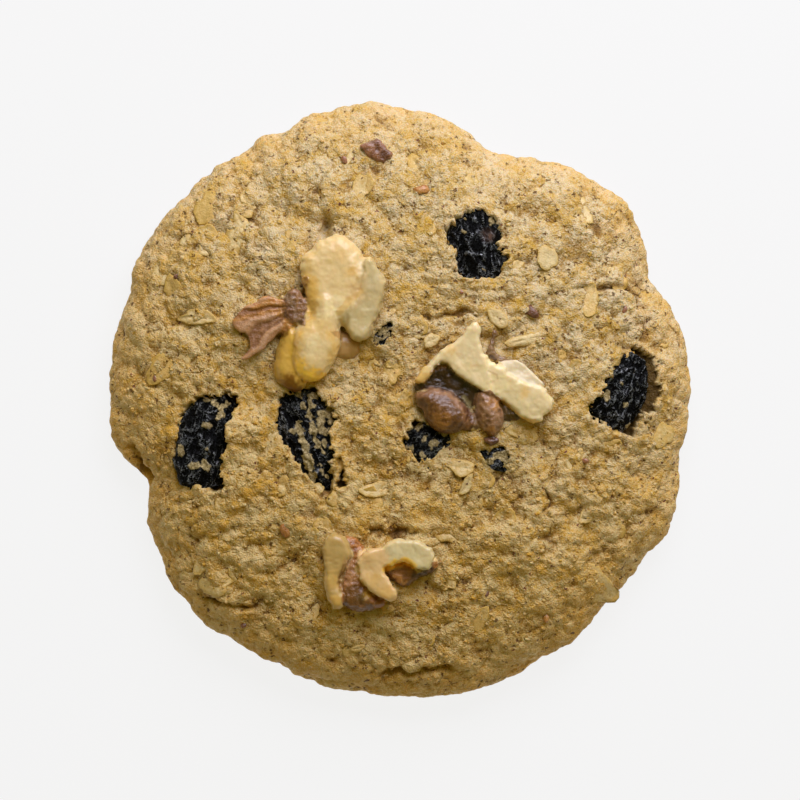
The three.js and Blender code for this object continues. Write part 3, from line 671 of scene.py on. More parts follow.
def turnPoints(points, turnX, turnZ):
    # each group of points turned about x by turnX, then about z by turnZ
    cx, sx = np.cos(turnX)[:, None], np.sin(turnX)[:, None]
    cz, sz = np.cos(turnZ)[:, None], np.sin(turnZ)[:, None]
    x, y, z = points[..., 0], points[..., 1], points[..., 2]
    y, z = y * cx - z * sx, y * sx + z * cx
    return np.stack([x * cz - y * sz, x * sz + y * cz, z], axis=2)


def coarseHeight(x, y):
    # the dome with swells, a share of the large crags and the hills, and hollows no deeper than the
    # bridge: what a stiff flake lies on
    share = np.hypot(x, y) / rimRadius(np.arctan2(y, x))
    height = domeHeight(share)
    over = np.stack([x, y, height], axis=1)
    size, high, seed = dough["crags"][0]
    bump = dough["cragShare"] * high * (mounds(over, size, seed)[0] - dough["moundMean"])
    relief = reliefPush(x, y)[0]
    return height + swellHeight(x, y, share) + bump + np.maximum(relief, -flakes["bridge"])


# Walnut pieces: each lobe is an outline filled like a pillow, and the lobes are fused. Lift is
# over the dough's dome, and the colors are laid on in turn: an area, a spot (x, y, radius) or a
# line of (x, y, half width), with its softness and its share

walnuts = {
    "walnut_large": {
        "lobes": [
            {"lift": 0.9, "high": 1.6, "deep": 2.2, "edge": 2.8, "lean": (-0.04, 0.0), "rag": 0.16,
             "outline": [
                (-8.2, 22.7), (-6.5, 21.7), (-5.0, 19.7), (-3.6, 19.4), (-2.6, 17.3), (-2.0, 16.1),
                (-2.2, 13.9), (-2.9, 11.5), (-4.0, 9.1), (-5.1, 8.3), (-6.2, 8.7), (-7.1, 9.9), (-8.0, 10.4),
                (-9.2, 10.2), (-10.9, 10.6), (-12.3, 12.6), (-12.9, 14.9), (-13.5, 16.4), (-13.3, 17.8),
                (-13.3, 19.7), (-11.9, 20.7), (-10.7, 21.8)]},
            {"lift": 1.1, "high": 1.3, "deep": 1.8, "edge": 0.7, "lean": (-0.14, 0.03), "rag": 0.14,
             "outline": [
                (-4.9, 19.3), (-3.6, 19.5), (-2.6, 17.3), (-1.9, 16.1), (-2.2, 13.9), (-2.9, 11.5),
                (-4.0, 9.0), (-5.1, 8.2), (-6.3, 8.6), (-7.2, 9.9), (-7.0, 12.6), (-5.8, 15.0),
                (-5.2, 17.4)]},
            {"lift": 1.1, "high": 2.2, "deep": 1.8, "edge": 2.9, "lean": (0.0, 0.04), "outline": [
                (-12.0, 14.2), (-10.4, 15.6), (-8.6, 14.6), (-8.0, 12.0), (-8.0, 9.9), (-7.9, 7.5),
                (-8.7, 5.5), (-10.0, 3.4), (-11.4, 2.6), (-12.9, 2.6), (-14.2, 3.6), (-14.8, 5.7),
                (-14.6, 8.6), (-13.6, 10.6), (-12.3, 11.6), (-12.1, 12.8)]},
            {"lift": 0.1, "high": 2.1, "deep": 1.8, "edge": 2.0, "lean": (0.05, 0.03), "outline": [
                (-15.2, 11.2), (-13.6, 9.8), (-12.8, 6.0), (-12.6, 2.6), (-13.4, 1.5), (-15.2, 1.4),
                (-16.6, 2.4), (-17.2, 4.2), (-17.0, 6.4), (-16.3, 8.6), (-16.0, 10.2)]},
            {"lift": -1.0, "high": 1.7, "deep": 1.4, "edge": 1.6, "lean": (0.0, 0.0), "outline": [
                (-8.9, 9.6), (-7.3, 9.4), (-5.6, 8.4), (-5.3, 7.0), (-6.3, 5.8), (-8.3, 5.3), (-9.4, 6.6)]},
            {"lift": 1.0, "high": 0.95, "deep": 1.4, "edge": 0.7, "lean": (0.06, 0.0), "rag": 0.26,
             "outline": [
                (-15.4, 14.2), (-14.6, 15.5), (-13.6, 15.0), (-12.2, 13.0), (-11.7, 11.8), (-12.6, 10.6),
                (-14.0, 10.3), (-15.4, 11.0), (-16.0, 12.6)]},
            {"lift": 1.0, "high": 0.42, "deep": 0.4, "edge": 0.35, "lean": (0.10, 0.03), "rag": 0.14,
             "outline": [
                (-22.8, 11.1), (-21.6, 12.5), (-19.8, 13.3), (-18.9, 14.0), (-17.7, 14.5), (-16.8, 13.9),
                (-15.4, 14.2), (-14.0, 12.9), (-14.0, 10.6), (-15.4, 9.8), (-16.9, 8.6), (-18.7, 7.0),
                (-21.5, 5.6), (-20.6, 7.4), (-21.1, 9.1), (-22.5, 9.9)]},
        ],
        "colors": [
            ("gold", [(-13.4, 17.6), (-11.4, 16.6), (-10.6, 14.5), (-11.0, 12.0), (-12.6, 10.6),
                      (-13.4, 13.0)], 1.2, 0.9),
            ("rust", (-12.9, 16.3, 0.7), 0.5, 0.7),
            ("palerAndHighlight", (-8.6, 12.9, 1.5), 1.2, 0.7), ("palerAndHighlight", (-11.4, 7.4, 1.5), 1.2, 0.5),
            ("pale", [(-5.0, 19.4), (-3.2, 19.2), (-1.6, 16.1), (-1.9, 13.6), (-2.9, 11.3), (-4.0, 8.8),
                      (-5.1, 8.0), (-6.4, 8.4), (-7.5, 10.2), (-7.3, 12.2), (-5.2, 14.2),
                      (-4.8, 16.8)], 1.5, 1.0),
            ("gold", [(-5.2, 14.9, 0.35), (-6.6, 13.7, 0.5), (-8.2, 12.0, 0.4)], 0.35, 0.55),
            ("gold", (-6.4, 17.6, 0.7), 1.0, 0.55), ("gold", (-8.2, 20.2, 1.4), 1.6, 0.25),
            ("tan", [(-5.8, 16.6), (-4.6, 17.2), (-4.4, 13.6), (-6.0, 12.8), (-7.0, 13.8)], 1.2, 0.35),
            ("gold", [(-10.9, 20.6, 0.3), (-12.6, 19.4, 0.3), (-12.2, 17.6, 0.4)], 0.7, 0.4),
            ("gold", [(-14.0, 8.8, 0.6), (-14.2, 5.6, 0.8), (-13.2, 3.4, 1.0), (-11.2, 3.1, 0.8)], 1.4, 1.0),
            ("gold", [(-9.2, 9.4, 0.5), (-8.6, 7.4, 0.5), (-9.4, 5.4, 0.4)], 0.8, 0.55),
            ("gold", (-11.6, 9.6, 2.0), 1.8, 0.3),
            # the tip color: partly golden flesh, partly painted light on its shaded downward faces
            ("tip", [(-13.9, 4.8, 0.6), (-13.0, 3.2, 1.1), (-11.2, 2.9, 0.9)], 1.6, 1.0),
            ("palerAndHighlight", (-11.9, 8.2, 1.0), 0.9, 0.7), ("palerAndHighlight", (-10.2, 12.0, 0.9), 1.0, 0.9),
            ("amber", [(-15.4, 11.6), (-14.2, 10.2), (-14.1, 7.0), (-14.2, 4.4), (-13.2, 2.6), (-12.4, 1.4),
                       (-15.0, 0.8), (-17.4, 2.0), (-17.8, 5.0), (-17.0, 9.0), (-16.2, 10.6)], 0.35, 0.85),
            ("umber", (-14.9, 1.6, 1.8), 1.7, 1.0), ("umber", (-15.9, 9.6, 0.9), 0.6, 0.8),
            ("tan", [(-9.4, 9.4), (-7.6, 9.5), (-6.6, 8.3), (-4.9, 7.9), (-5.4, 6.2), (-7.6, 5.0),
                     (-8.4, 6.0), (-7.8, 8.0)], 0.2, 1.0),
            ("bronze", [(-23.0, 11.6), (-21.6, 12.9), (-19.8, 13.8), (-17.7, 14.9), (-15.8, 13.9),
                        (-14.4, 12.4), (-14.4, 10.2), (-16.9, 8.2), (-18.7, 6.6), (-22.0, 5.0), (-20.9, 7.5),
                        (-21.4, 9.1), (-23.0, 9.9)], 0.15, 1.0),
            # partly the skin's own mauve, partly painted sheen
            ("mauveAndSheen", [(-23.0, 10.6), (-20.4, 11.2), (-17.4, 12.0), (-15.6, 10.8), (-16.9, 8.2),
                       (-18.7, 6.6), (-22.0, 5.0), (-20.9, 7.5), (-21.4, 9.1)], 0.35, 0.9),
            ("mauveAndSheen", [(-22.2, 11.8, 0.2), (-19.6, 13.2, 0.25), (-17.6, 14.2, 0.2)], 0.25, 0.8),
            ("plum", [(-15.7, 14.4), (-14.6, 15.9), (-13.4, 15.2), (-12.7, 12.9), (-12.6, 11.9),
                      (-13.0, 10.4), (-14.4, 10.4), (-15.8, 11.4)], 0.6, 0.85),
            ("nib", [(-14.6, 15.2, 0.3), (-13.4, 13.6, 0.7), (-13.2, 12.0, 0.5)], 0.8, 0.9),
        ],
        "fan": (-13.2, 13.0), "smoothings": 4,
    },
    "walnut_wedge": {
        "lobes": [
            {"lift": 1.7, "high": 0.75, "deep": 1.5, "edge": 0.5, "lean": (0.02, 0.05), "rag": 0.15,
             "outline": [
                (2.4, 2.7), (3.1, 4.0), (4.5, 5.6), (6.0, 7.1), (7.6, 7.9), (8.9, 9.4), (9.8, 10.6),
                (10.6, 10.7), (11.1, 9.4), (11.2, 7.4), (12.0, 5.8), (12.6, 3.6), (13.0, 0.9), (12.0, 0.8),
                (9.5, 2.3), (7.6, 3.7), (6.5, 4.9), (5.2, 4.7), (4.3, 3.2), (3.2, 2.3)]},
            {"lift": 1.35, "high": 0.85, "deep": 1.5, "edge": 0.6, "lean": (-0.02, 0.06), "rag": 0.18,
             "outline": [
                (11.4, 6.2), (12.4, 5.6), (13.6, 4.9), (14.8, 4.1), (16.8, 2.7), (19.2, 2.2), (20.5, 0.8),
                (21.0, -0.5), (20.2, -2.0), (18.9, -3.1), (17.0, -2.6), (15.0, -0.8), (12.5, 0.8),
                (10.5, 1.9), (10.6, 4.0)]},
            {"lift": 1.3, "high": 0.5, "deep": 0.8, "edge": 0.2, "lean": (-0.03, -0.10), "rag": 0.08,
             "outline": [
                (13.5, 5.2), (15.0, 5.6), (16.3, 5.5), (17.4, 4.8), (18.6, 3.6), (19.9, 2.1), (17.6, 1.8),
                (15.3, 3.2)]},
            {"lift": -0.3, "high": 1.0, "deep": 1.2, "edge": 1.2, "lean": (0.0, 0.15), "outline": [
                (2.1, 2.3), (3.2, 3.6), (5.1, 5.0), (6.4, 5.2), (8.4, 3.8), (10.8, 2.4), (13.0, 0.8),
                (13.0, -0.4), (11.0, -0.6), (9.6, -1.4), (8.4, -0.8), (6.7, 0.3), (4.5, 0.9), (2.4, 0.9)]},
            {"lift": 0.3, "high": 2.3, "deep": 1.8, "edge": 2.7, "lean": (0.0, 0.0), "outline": [
                (2.3, 1.0), (4.0, 1.9), (6.3, 1.6), (8.0, 0.6), (9.2, -0.7), (9.7, -2.0), (9.4, -3.4),
                (8.2, -4.3), (6.6, -4.6), (5.0, -4.1), (3.8, -2.9), (3.0, -1.3), (2.3, -0.3)]},
            {"lift": -0.3, "high": 1.4, "deep": 1.4, "edge": 1.0, "lean": (0.0, 0.0), "rag": 0.1,
             "outline": [
                (8.0, -0.8), (9.6, -1.0), (10.9, -2.6), (11.2, -3.8), (10.2, -4.3), (8.6, -4.2),
                (7.6, -2.8)]},
            {"lift": 0.45, "high": 2.0, "deep": 1.6, "edge": 1.9, "lean": (0.0, 0.08), "outline": [
                (10.8, 1.2), (12.2, 1.2), (13.4, 0.3), (14.1, -0.9), (14.4, -2.5), (13.9, -4.0),
                (13.2, -4.8), (12.1, -4.8), (11.2, -3.8), (10.5, -2.2), (10.4, -0.6)]},
            {"lift": 0.15, "high": 0.9, "deep": 0.9, "edge": 0.6, "lean": (0.0, 0.0), "outline": [
                (11.7, -5.2), (12.5, -5.0), (13.6, -5.2), (13.6, -5.8), (12.6, -6.2), (11.8, -5.9)]},
            {"lift": -0.2, "high": 1.0, "deep": 0.9, "edge": 0.8, "lean": (0.0, 0.0), "outline": [
                (13.0, 0.2), (15.3, -0.6), (17.0, -2.0), (15.9, -2.9), (14.5, -2.9), (13.8, -1.8)]},
            {"lift": 0.35, "high": 0.35, "deep": 0.5, "edge": 0.25, "lean": (-0.05, 0.05), "rag": 0.16,
             "outline": [
                (12.2, 7.4), (12.6, 8.8), (13.0, 9.6), (13.5, 9.3), (13.1, 8.0), (13.3, 6.4), (15.2, 5.6),
                (14.0, 5.0), (12.8, 5.4), (12.0, 6.1)]},
        ],
        "colors": [
            ("cut", [(2.0, 2.4), (4.0, 6.0), (8.0, 9.6), (10.0, 11.4), (11.8, 10.0), (12.0, 6.0),
                     (13.6, 5.2), (17.0, 3.0), (20.0, 2.6), (21.6, -0.4), (19.0, -3.6), (16.8, -3.0),
                     (12.6, 0.4), (9.0, 2.2), (6.4, 4.6), (5.2, 4.5), (3.4, 2.0)], 0.2, 1.0),
            # paler flesh, with painted highlight streaks along the cut's ridges
            ("palerAndHighlight", [(11.8, 5.8), (13.6, 4.6), (15.4, 2.0), (13.6, 0.4), (11.6, 1.8)], 0.8, 0.8),
            ("palerAndHighlight", [(11.3, 6.2, 0.2), (13.0, 5.0, 0.3), (14.6, 3.0, 0.2), (15.4, 1.2, 0.3),
                        (17.6, -0.6, 0.2)], 0.25, 0.8),
            ("palerAndHighlight", [(16.4, 2.4, 0.15), (18.4, 1.9, 0.2), (20.2, 0.2, 0.2)], 0.25, 0.7),
            ("brown", [(4.3, 3.25, 0.12), (5.6, 4.75, 0.14), (6.6, 4.8, 0.10), (7.8, 3.6, 0.12),
                       (9.6, 2.25, 0.12), (12.0, 0.75, 0.1)], 0.2, 0.75),
            ("gold", (7.2, 6.9, 0.8), 1.2, 0.5), ("gold", (17.0, 0.9, 0.8), 1.3, 0.6),
            ("gold", (3.3, 3.0, 1.3), 1.2, 0.75),
            ("umber", [(2.3, 2.2, 0.10), (3.2, 2.2, 0.15), (4.2, 2.9, 0.15)], 0.3, 0.5),
            ("gold", [(13.0, 0.4, 0.25), (15.0, -1.0, 0.3), (17.0, -2.7, 0.3), (19.0, -3.2, 0.3)], 0.3, 0.8),
            ("tan", [(12.2, 4.0, 0.10), (13.3, 3.5, 0.18), (13.5, 3.0, 0.08)], 0.15, 0.5),
            ("chip", [(13.6, 5.4), (16.3, 5.9), (17.8, 5.0), (20.3, 2.1), (17.8, 2.2), (16.6, 2.7),
                      (15.3, 3.7)], 0.15, 0.9),
            ("brown", [(14.0, 5.45, 0.08), (16.0, 5.6, 0.08), (17.3, 5.0, 0.08),
                       (19.9, 2.2, 0.05)], 0.12, 0.8),
            # painted shade under the plate: dark skin darkened further
            ("darkShade", [(1.8, 2.2), (3.4, 2.3), (4.4, 3.4), (5.2, 4.9), (6.4, 5.0), (7.5, 3.8), (9.6, 2.2),
                      (12.4, 0.8), (12.6, -0.4), (10.6, -0.4), (9.6, -1.4), (8.4, -0.2), (6.7, 0.9),
                      (4.5, 1.6), (2.0, 1.2)], 0.3, 1.0),
            ("rust", [(4.4, 3.8, 0.2), (5.4, 4.6, 0.3), (6.4, 4.6, 0.2)], 0.3, 0.7),
            ("jade", [(8.9, 0.4, 0.3), (9.6, -0.7, 0.4), (10.0, -1.6, 0.25)], 0.4, 0.5),
            ("brown", [(1.9, 1.0), (4.5, 1.6), (6.7, 0.9), (8.4, -0.2), (9.7, -1.2), (10.3, -3.3),
                       (9.6, -4.8), (6.6, -5.2), (4.6, -4.5), (3.2, -2.9), (1.9, -1.0)], 0.3, 1.0),
            # partly the skin's own mauve, partly painted sheen
            ("mauveAndSheen", [(2.6, 0.6, 0.4), (4.4, 1.4, 0.4), (7.0, 0.9, 0.4), (8.9, -1.4, 0.35),
                       (9.2, -3.0, 0.4)], 0.5, 0.55),
            ("rust", (5.6, -2.6, 1.3), 1.2, 0.8),
            ("plum", [(8.6, -0.4, 0.3), (9.9, -2.0, 0.4), (10.6, -3.6, 0.4)], 0.4, 0.8),
            ("plumDeep", [(10.4, 1.0), (12.4, 1.4), (13.8, 0.3), (14.9, -2.5), (14.1, -4.4), (13.2, -5.2),
                       (12.0, -5.2), (10.9, -3.8), (10.2, -2.0), (10.1, -0.6)], 0.2, 1.0),
            ("rust", (12.6, -4.2, 0.7), 0.6, 0.9), ("bronze", (12.8, -0.4, 0.8), 0.8, 0.7),
            ("nib", [(11.2, -1.0, 0.3), (11.6, -3.4, 0.4)], 0.6, 0.6),
            ("plum", [(11.4, -4.95), (13.9, -4.95), (14.1, -5.9), (12.4, -6.5), (11.4, -5.9)], 0.15, 1.0),
            ("shadow", [(13.6, -0.2), (15.3, -1.2), (17.0, -2.6), (15.9, -3.4), (14.3, -3.3),
                        (14.3, -1.8)], 0.2, 1.0),
            ("twig", [(11.8, 7.6), (12.4, 9.9), (14.0, 9.9), (13.8, 7.0), (15.2, 5.75), (13.9, 5.3),
                      (12.4, 5.9), (11.9, 6.4)], 0.15, 1.0),
            # painted shade beside the twig: dark skin darkened further
            ("darkShade", [(12.5, 6.0, 0.3), (13.2, 5.6, 0.2)], 0.2, 0.9),
        ],
        "rings": (6.5, -1.6), "smoothings": 3,
    },
    "walnut_hook": {
        "lobes": [
            {"lift": 1.15, "high": 0.95, "deep": 1.8, "edge": 0.7, "lean": (0.0, 0.03), "rag": 0.12,
             "outline": [
                (-10.4, -19.6), (-9.8, -18.6), (-8.9, -18.3), (-7.9, -18.6), (-7.0, -19.6), (-6.5, -21.0),
                (-7.1, -22.6), (-7.9, -24.0), (-8.0, -25.4), (-7.3, -27.0), (-7.8, -28.2), (-8.9, -28.4),
                (-9.8, -26.8), (-10.1, -24.4), (-10.4, -22.4)]},
            {"lift": 0.2, "high": 1.6, "deep": 1.5, "edge": 1.7, "lean": (0.02, 0.0), "rag": 0.10,
             "outline": [
                (-7.6, -18.8), (-6.2, -18.6), (-5.2, -19.6), (-4.4, -20.6), (-4.6, -22.6), (-4.4, -24.6),
                (-3.2, -26.4), (-1.9, -27.5), (-2.4, -28.3), (-4.6, -28.9), (-6.6, -28.7), (-7.8, -27.9),
                (-8.4, -25.8), (-7.8, -23.6), (-7.2, -21.3)]},
            {"lift": 2.1, "high": 0.75, "deep": 2.0, "edge": 0.5, "lean": (0.03, 0.03), "rag": 0.13,
             "outline": [
                (-2.6, -20.0), (-1.7, -19.4), (0.0, -19.0), (2.0, -19.1), (3.6, -19.6), (4.7, -20.5),
                (4.9, -21.6), (4.2, -22.7), (3.0, -23.2), (1.7, -22.6), (0.6, -22.0), (-0.8, -22.6),
                (-1.9, -23.0), (-1.7, -24.0), (-0.7, -25.2), (-0.2, -26.2), (-0.7, -27.2), (-1.9, -27.4),
                (-3.2, -26.5), (-4.7, -25.3), (-5.6, -23.8), (-5.7, -22.2), (-5.0, -21.0), (-3.9, -20.4)]},
            {"lift": -0.5, "high": 1.4, "deep": 1.2, "edge": 1.3, "lean": (0.0, 0.04), "rag": 0.06,
             "outline": [
                (-2.3, -22.6), (-0.7, -21.8), (1.5, -22.0), (3.1, -22.6), (4.6, -21.6), (5.4, -22.2),
                (5.1, -23.3), (4.0, -24.0), (2.8, -24.4), (1.4, -25.3), (0.2, -25.6), (-0.8, -24.9),
                (-1.8, -24.0)]},
        ],
        "colors": [
            ("honey", [(-10.8, -19.6), (-8.9, -17.9), (-6.9, -19.0), (-6.3, -21.0), (-7.7, -24.2),
                       (-8.0, -26.0), (-7.2, -27.4), (-8.0, -28.8), (-9.6, -28.4),
                       (-10.2, -24.4)], 0.2, 1.0),
            ("gold", (-9.0, -24.6, 1.2), 1.2, 0.4), ("gold", (-8.6, -27.4, 0.9), 0.7, 0.6),
            ("russet", [(-7.4, -18.4), (-5.2, -18.2), (-3.8, -20.8), (-4.2, -26.0), (-1.5, -27.0),
                        (-2.0, -29.0), (-6.9, -29.2), (-7.9, -27.6), (-7.7, -25.4), (-7.4, -23.6),
                        (-6.2, -21.3), (-6.9, -19.4)], 0.25, 1.0),
            # partly the skin's own mauve, partly painted sheen
            ("mauveAndSheen", [(-7.4, -21.9), (-5.6, -21.6), (-5.3, -23.8), (-6.0, -25.6), (-7.9, -25.4),
                       (-8.2, -23.8)], 0.8, 0.6),
            ("umber", [(-7.6, -22.6, 0.2), (-8.1, -24.6, 0.25), (-7.6, -26.4, 0.25)], 0.5, 0.7),
            ("brown", [(-7.4, -25.4), (-5.8, -24.8), (-4.2, -26.4), (-3.2, -29.2), (-6.9, -29.2),
                       (-7.8, -27.4)], 0.5, 0.9),
            ("amber", (-4.4, -26.6, 0.7), 0.5, 0.7), ("umber", (-2.6, -28.0, 0.8), 0.6, 0.6),
            ("peach", [(-6.1, -23.2), (-5.4, -20.6), (-3.4, -19.9), (-1.2, -20.6), (-1.6, -23.0),
                       (-1.4, -24.6), (0.2, -26.2), (-0.6, -27.8), (-3.4, -26.6), (-5.4, -24.8)], 0.4, 1.0),
            ("jade", [(-1.9, -20.0), (0.0, -18.6), (3.6, -19.1), (5.3, -20.9), (4.6, -23.0), (3.0, -23.5),
                      (0.5, -22.1), (-0.9, -22.4)], 0.9, 0.9),
            ("gold", (-3.4, -24.6, 1.0), 1.4, 0.4), ("gold", (-1.8, -26.2, 1.0), 1.2, 0.45),
            ("tan", [(-5.2, -21.9, 0.06), (-3.9, -22.1, 0.10)], 0.2, 0.5),
            ("tip", [(-1.9, -23.2, 0.3), (-0.4, -22.3, 0.6), (0.8, -22.0, 0.6),
                     (2.0, -22.6, 0.4)], 0.4, 0.9),
            ("brown", [(-1.9, -23.6), (0.0, -23.0), (1.4, -22.9), (2.6, -23.6), (3.6, -23.4),
                       (4.9, -22.6), (5.8, -22.4), (5.5, -23.8), (2.8, -25.0), (0.2, -26.2),
                       (-0.9, -25.1)], 0.3, 1.0),
            ("bronze", (0.5, -23.7, 1.3), 0.7, 0.9), ("shadow", (3.2, -24.2, 1.0), 0.8, 0.7),
            ("bronze", (5.0, -22.5, 0.5), 0.4, 0.9), ("shadow", (-5.4, -26.9, 0.7), 0.7, 0.7),
        ],
        "smoothings": 4,
    },
    "walnut_chip": {
        "lobes": [
            {"lift": 0.3, "high": 0.75, "deep": 0.8, "edge": 0.5, "lean": (0.0, 0.05), "rag": 0.12,
             "outline": [
                (-5.5, 34.9), (-4.2, 35.5), (-2.8, 36.0), (-1.9, 34.9), (-0.8, 33.7), (-2.2, 32.6),
                (-4.0, 33.2)]},
        ],
        "colors": [("rosy", (-3.3, 34.3, 4.0), 1.0, 1.0), ("plum", (-1.8, 33.8, 0.6), 0.5, 0.6)],
        "smoothings": 2,
    },
}
walnutMesh = {
    "grid": 0.24, "rims": (0.05, 0.14), "rimKeep": 0.85, "innerKeep": 1.6, "voxel": 0.13,
    "outlineSteps": 7, "rag": 0.03,
    "ragNoise": (0.45, 0.22), "ragSeed": 90, "colorNoise": [(0.7, 1.0, 78), (0.3, 0.7, 79)],
    "colorRag": 0.35,
}
walnutRelief = {  # noises are size, height, seed
    "creases": [(1.5, 0.7, 74), (0.75, 0.6, 75)], "creaseNoise": [(0.35, 0.4, 73)], "creaseMean": 0.6,
    "creaseDeep": 0.14, "ridgeMiddle": 0.5, "ridgeShare": 0.35,
    "flesh": [(2.1, 0.15, 76), (0.8, 0.045, 77), (0.35, 0.03, 69)],
    "brokenSides": [(1.2, 0.2, 66), (0.55, 0.12, 64)],
    "fanTurns": 15, "fanNoise": [(2.2, 1.6, 70)], "fanFrom": 1.6, "fanTo": 3.4, "fanHigh": 0.9,
    "fanClear": 0.6, "fanSecond": 0.5, "fanSecondTurns": 2.3,
    "ringTurns": 9, "ringNoise": [(2.4, 0.7, 71), (0.9, 0.25, 70)], "ringFrom": 4.4, "ringTo": 3.6,
    "ringGaps": [(1.5, 1.0, 68)], "ringGapRange": (-0.3, 0.5), "ringHigh": 0.27, "ringClear": 0.4,
}
# painted light among these: the darkest skin color is dark skin darkened further as painted shade; the mauve
# is partly the skin's tint and partly painted sheen; the brightest flesh color is partly paler flesh and
# partly painted highlight; the tip color is partly golden flesh and partly painted light on shaded downward
# faces; the shadow color is painted shadow
walnutColors = {
    "cream": (0.74, 0.555, 0.25), "palerAndHighlight": (0.86, 0.71, 0.375), "cut": (0.78, 0.64, 0.345),
    "pale": (0.575, 0.465, 0.225), "gold": (0.74, 0.455, 0.10), "honey": (0.51, 0.35, 0.115),
    "peach": (0.74, 0.515, 0.225), "jade": (0.66, 0.56, 0.29), "amber": (0.62, 0.365, 0.04),
    "tip": (1.0, 0.61, 0.075), "umber": (0.22, 0.09, 0.006), "tan": (0.50, 0.30, 0.10),
    "chip": (0.70, 0.60, 0.37), "rust": (0.36, 0.16, 0.03), "bronze": (0.54, 0.26, 0.068),
    "mauveAndSheen": (0.50, 0.275, 0.135), "plum": (0.18, 0.082, 0.042), "rosy": (0.31, 0.145, 0.072),
    "nib": (0.33, 0.165, 0.060), "shadow": (0.10, 0.052, 0.010), "twig": (0.26, 0.155, 0.065),
    "russet": (0.45, 0.19, 0.05), "plumDeep": (0.33, 0.18, 0.085), "brown": (0.18, 0.078, 0.020),
    "darkShade": (0.060, 0.026, 0.007),
}
skinColors = {"rust", "bronze", "mauveAndSheen", "plum", "rosy", "nib", "shadow", "twig", "russet", "plumDeep",
              "brown", "darkShade"}


def outwardSides(line):
    # each point's direction square to the line between its neighbours
    along = np.roll(line, -1, axis=0) - np.roll(line, 1, axis=0)
    return np.stack([along[:, 1], -along[:, 0]], axis=1) / np.linalg.norm(along, axis=1)[:, None]


def smoothOutline(points, steps, ragged, seed):
    # Catmull-Rom through the closed outline's points, then pushed in and out by
    # ragged (noise + half of a finer noise)
    p = np.array(points, float)
    before, after, second = np.roll(p, 1, axis=0), np.roll(p, -1, axis=0), np.roll(p, -2, axis=0)
    t = (np.arange(steps) / steps)[None, :, None]
    a, b, c, d = (q[:, None, :] for q in (before, p, after, second))
    bend, twist = 2 * a - 5 * b + 4 * c - d, 3 * b - a - 3 * c + d
    line = 0.5 * (2 * b + (c - a) * t + bend * t ** 2 + twist * t ** 3)
    line = line.reshape(-1, 2)
    coarse, fine = walnutMesh["ragNoise"]
    rough = noiseSum(flatPlaces(line[:, 0], line[:, 1]), [(coarse, 1.0, seed), (fine, 0.5, seed)])
    return line + outwardSides(line) * (ragged * rough)[:, None]


def lobeLevels(x, y, lobe):
    # the pillow's top and bottom at a place, plane + high f and plane - deep f, where
    # f = sqrt(1 - (1 - min(d / edge, 1))^2) and d is the distance inside the outline
    middle = np.mean(lobe["outline"], axis=0)
    plane = topHeight(np.array([middle[0]]), np.array([middle[1]]))[0] + lobe["lift"]
    plane = plane + lobe["lean"][0] * (x - middle[0]) + lobe["lean"][1] * (y - middle[1])
    inside = outlineDistance(x, y, lobe["line"])
    fill = np.sqrt(1 - (1 - np.clip(inside / lobe["edge"], 0, 1)) ** 2)
    return plane + lobe["high"] * fill, plane - lobe["deep"] * fill, inside


def lobeMesh(lobe):
    # triangles over the outline's inside, once on top and once, turned round, underneath; the
    # points are the outline, rings a little inside it and a staggered grid clear of them
    line = lobe["line"]
    low, high = line.min(axis=0), line.max(axis=0)
    grid = walnutMesh["grid"]
    gx, gy = np.meshgrid(np.arange(low[0], high[0], grid), np.arange(low[1], high[1], grid))
    gx = gx + 0.5 * grid * (np.arange(gx.shape[0]) % 2)[:, None]
    inner = np.stack([gx.ravel(), gy.ravel()], axis=1)
    keep = walnutMesh["innerKeep"] * walnutMesh["rims"][1]
    inner = inner[outlineDistance(inner[:, 0], inner[:, 1], line) > keep]
    out = outwardSides(line)
    if np.sum(line[:, 0] * np.roll(line[:, 1], -1) - line[:, 1] * np.roll(line[:, 0], -1)) < 0:
        out = -out
    rims = []
    for offset in walnutMesh["rims"]:
        ring = line - out * offset
        rims.append(ring[outlineDistance(ring[:, 0], ring[:, 1], line) > walnutMesh["rimKeep"] * offset])
    flat = np.concatenate([line] + rims + [inner])
    found = geometry.delaunay_2d_cdt([Vector(q) for q in flat], [], [list(range(len(line)))], 1, 1e-5)
    flat = np.array([tuple(q) for q in found[0]])
    triangles = np.array(found[2])
    top, bottom, inside = lobeLevels(flat[:, 0], flat[:, 1], lobe)
    count = len(flat)
    points = np.concatenate([np.column_stack([flat, top]), np.column_stack([flat, bottom])])
    a, b, c = (flat[triangles[:, n]] for n in range(3))
    turned = np.cross(b - a, c - a) < 0
    triangles[turned] = triangles[turned][:, ::-1]
    under = np.where(np.abs(inside) < 1e-4, np.arange(count), np.arange(count) + count)
    return points, np.concatenate([triangles, under[triangles][:, ::-1]])


def fusedMesh(points, faces, voxel):
    # one skin round overlapping solids, as quads
    mesh = bpy.data.meshes.new("loose")
    mesh.from_pydata(points.tolist(), [], faces.tolist())
    loose = bpy.data.objects.new("loose", mesh)
    bpy.context.scene.collection.objects.link(loose)
    fuse = loose.modifiers.new("fuse", "REMESH")
    fuse.mode, fuse.voxel_size = "VOXEL", voxel
    made = loose.evaluated_get(bpy.context.evaluated_depsgraph_get()).to_mesh()
    fused = np.empty(len(made.vertices) * 3)
    made.vertices.foreach_get("co", fused)
    quads = np.empty(len(made.loops), int)
    made.loops.foreach_get("vertex_index", quads)
    bpy.data.objects.remove(loose)
    return fused.reshape(-1, 3), quads.reshape(-1, 4)


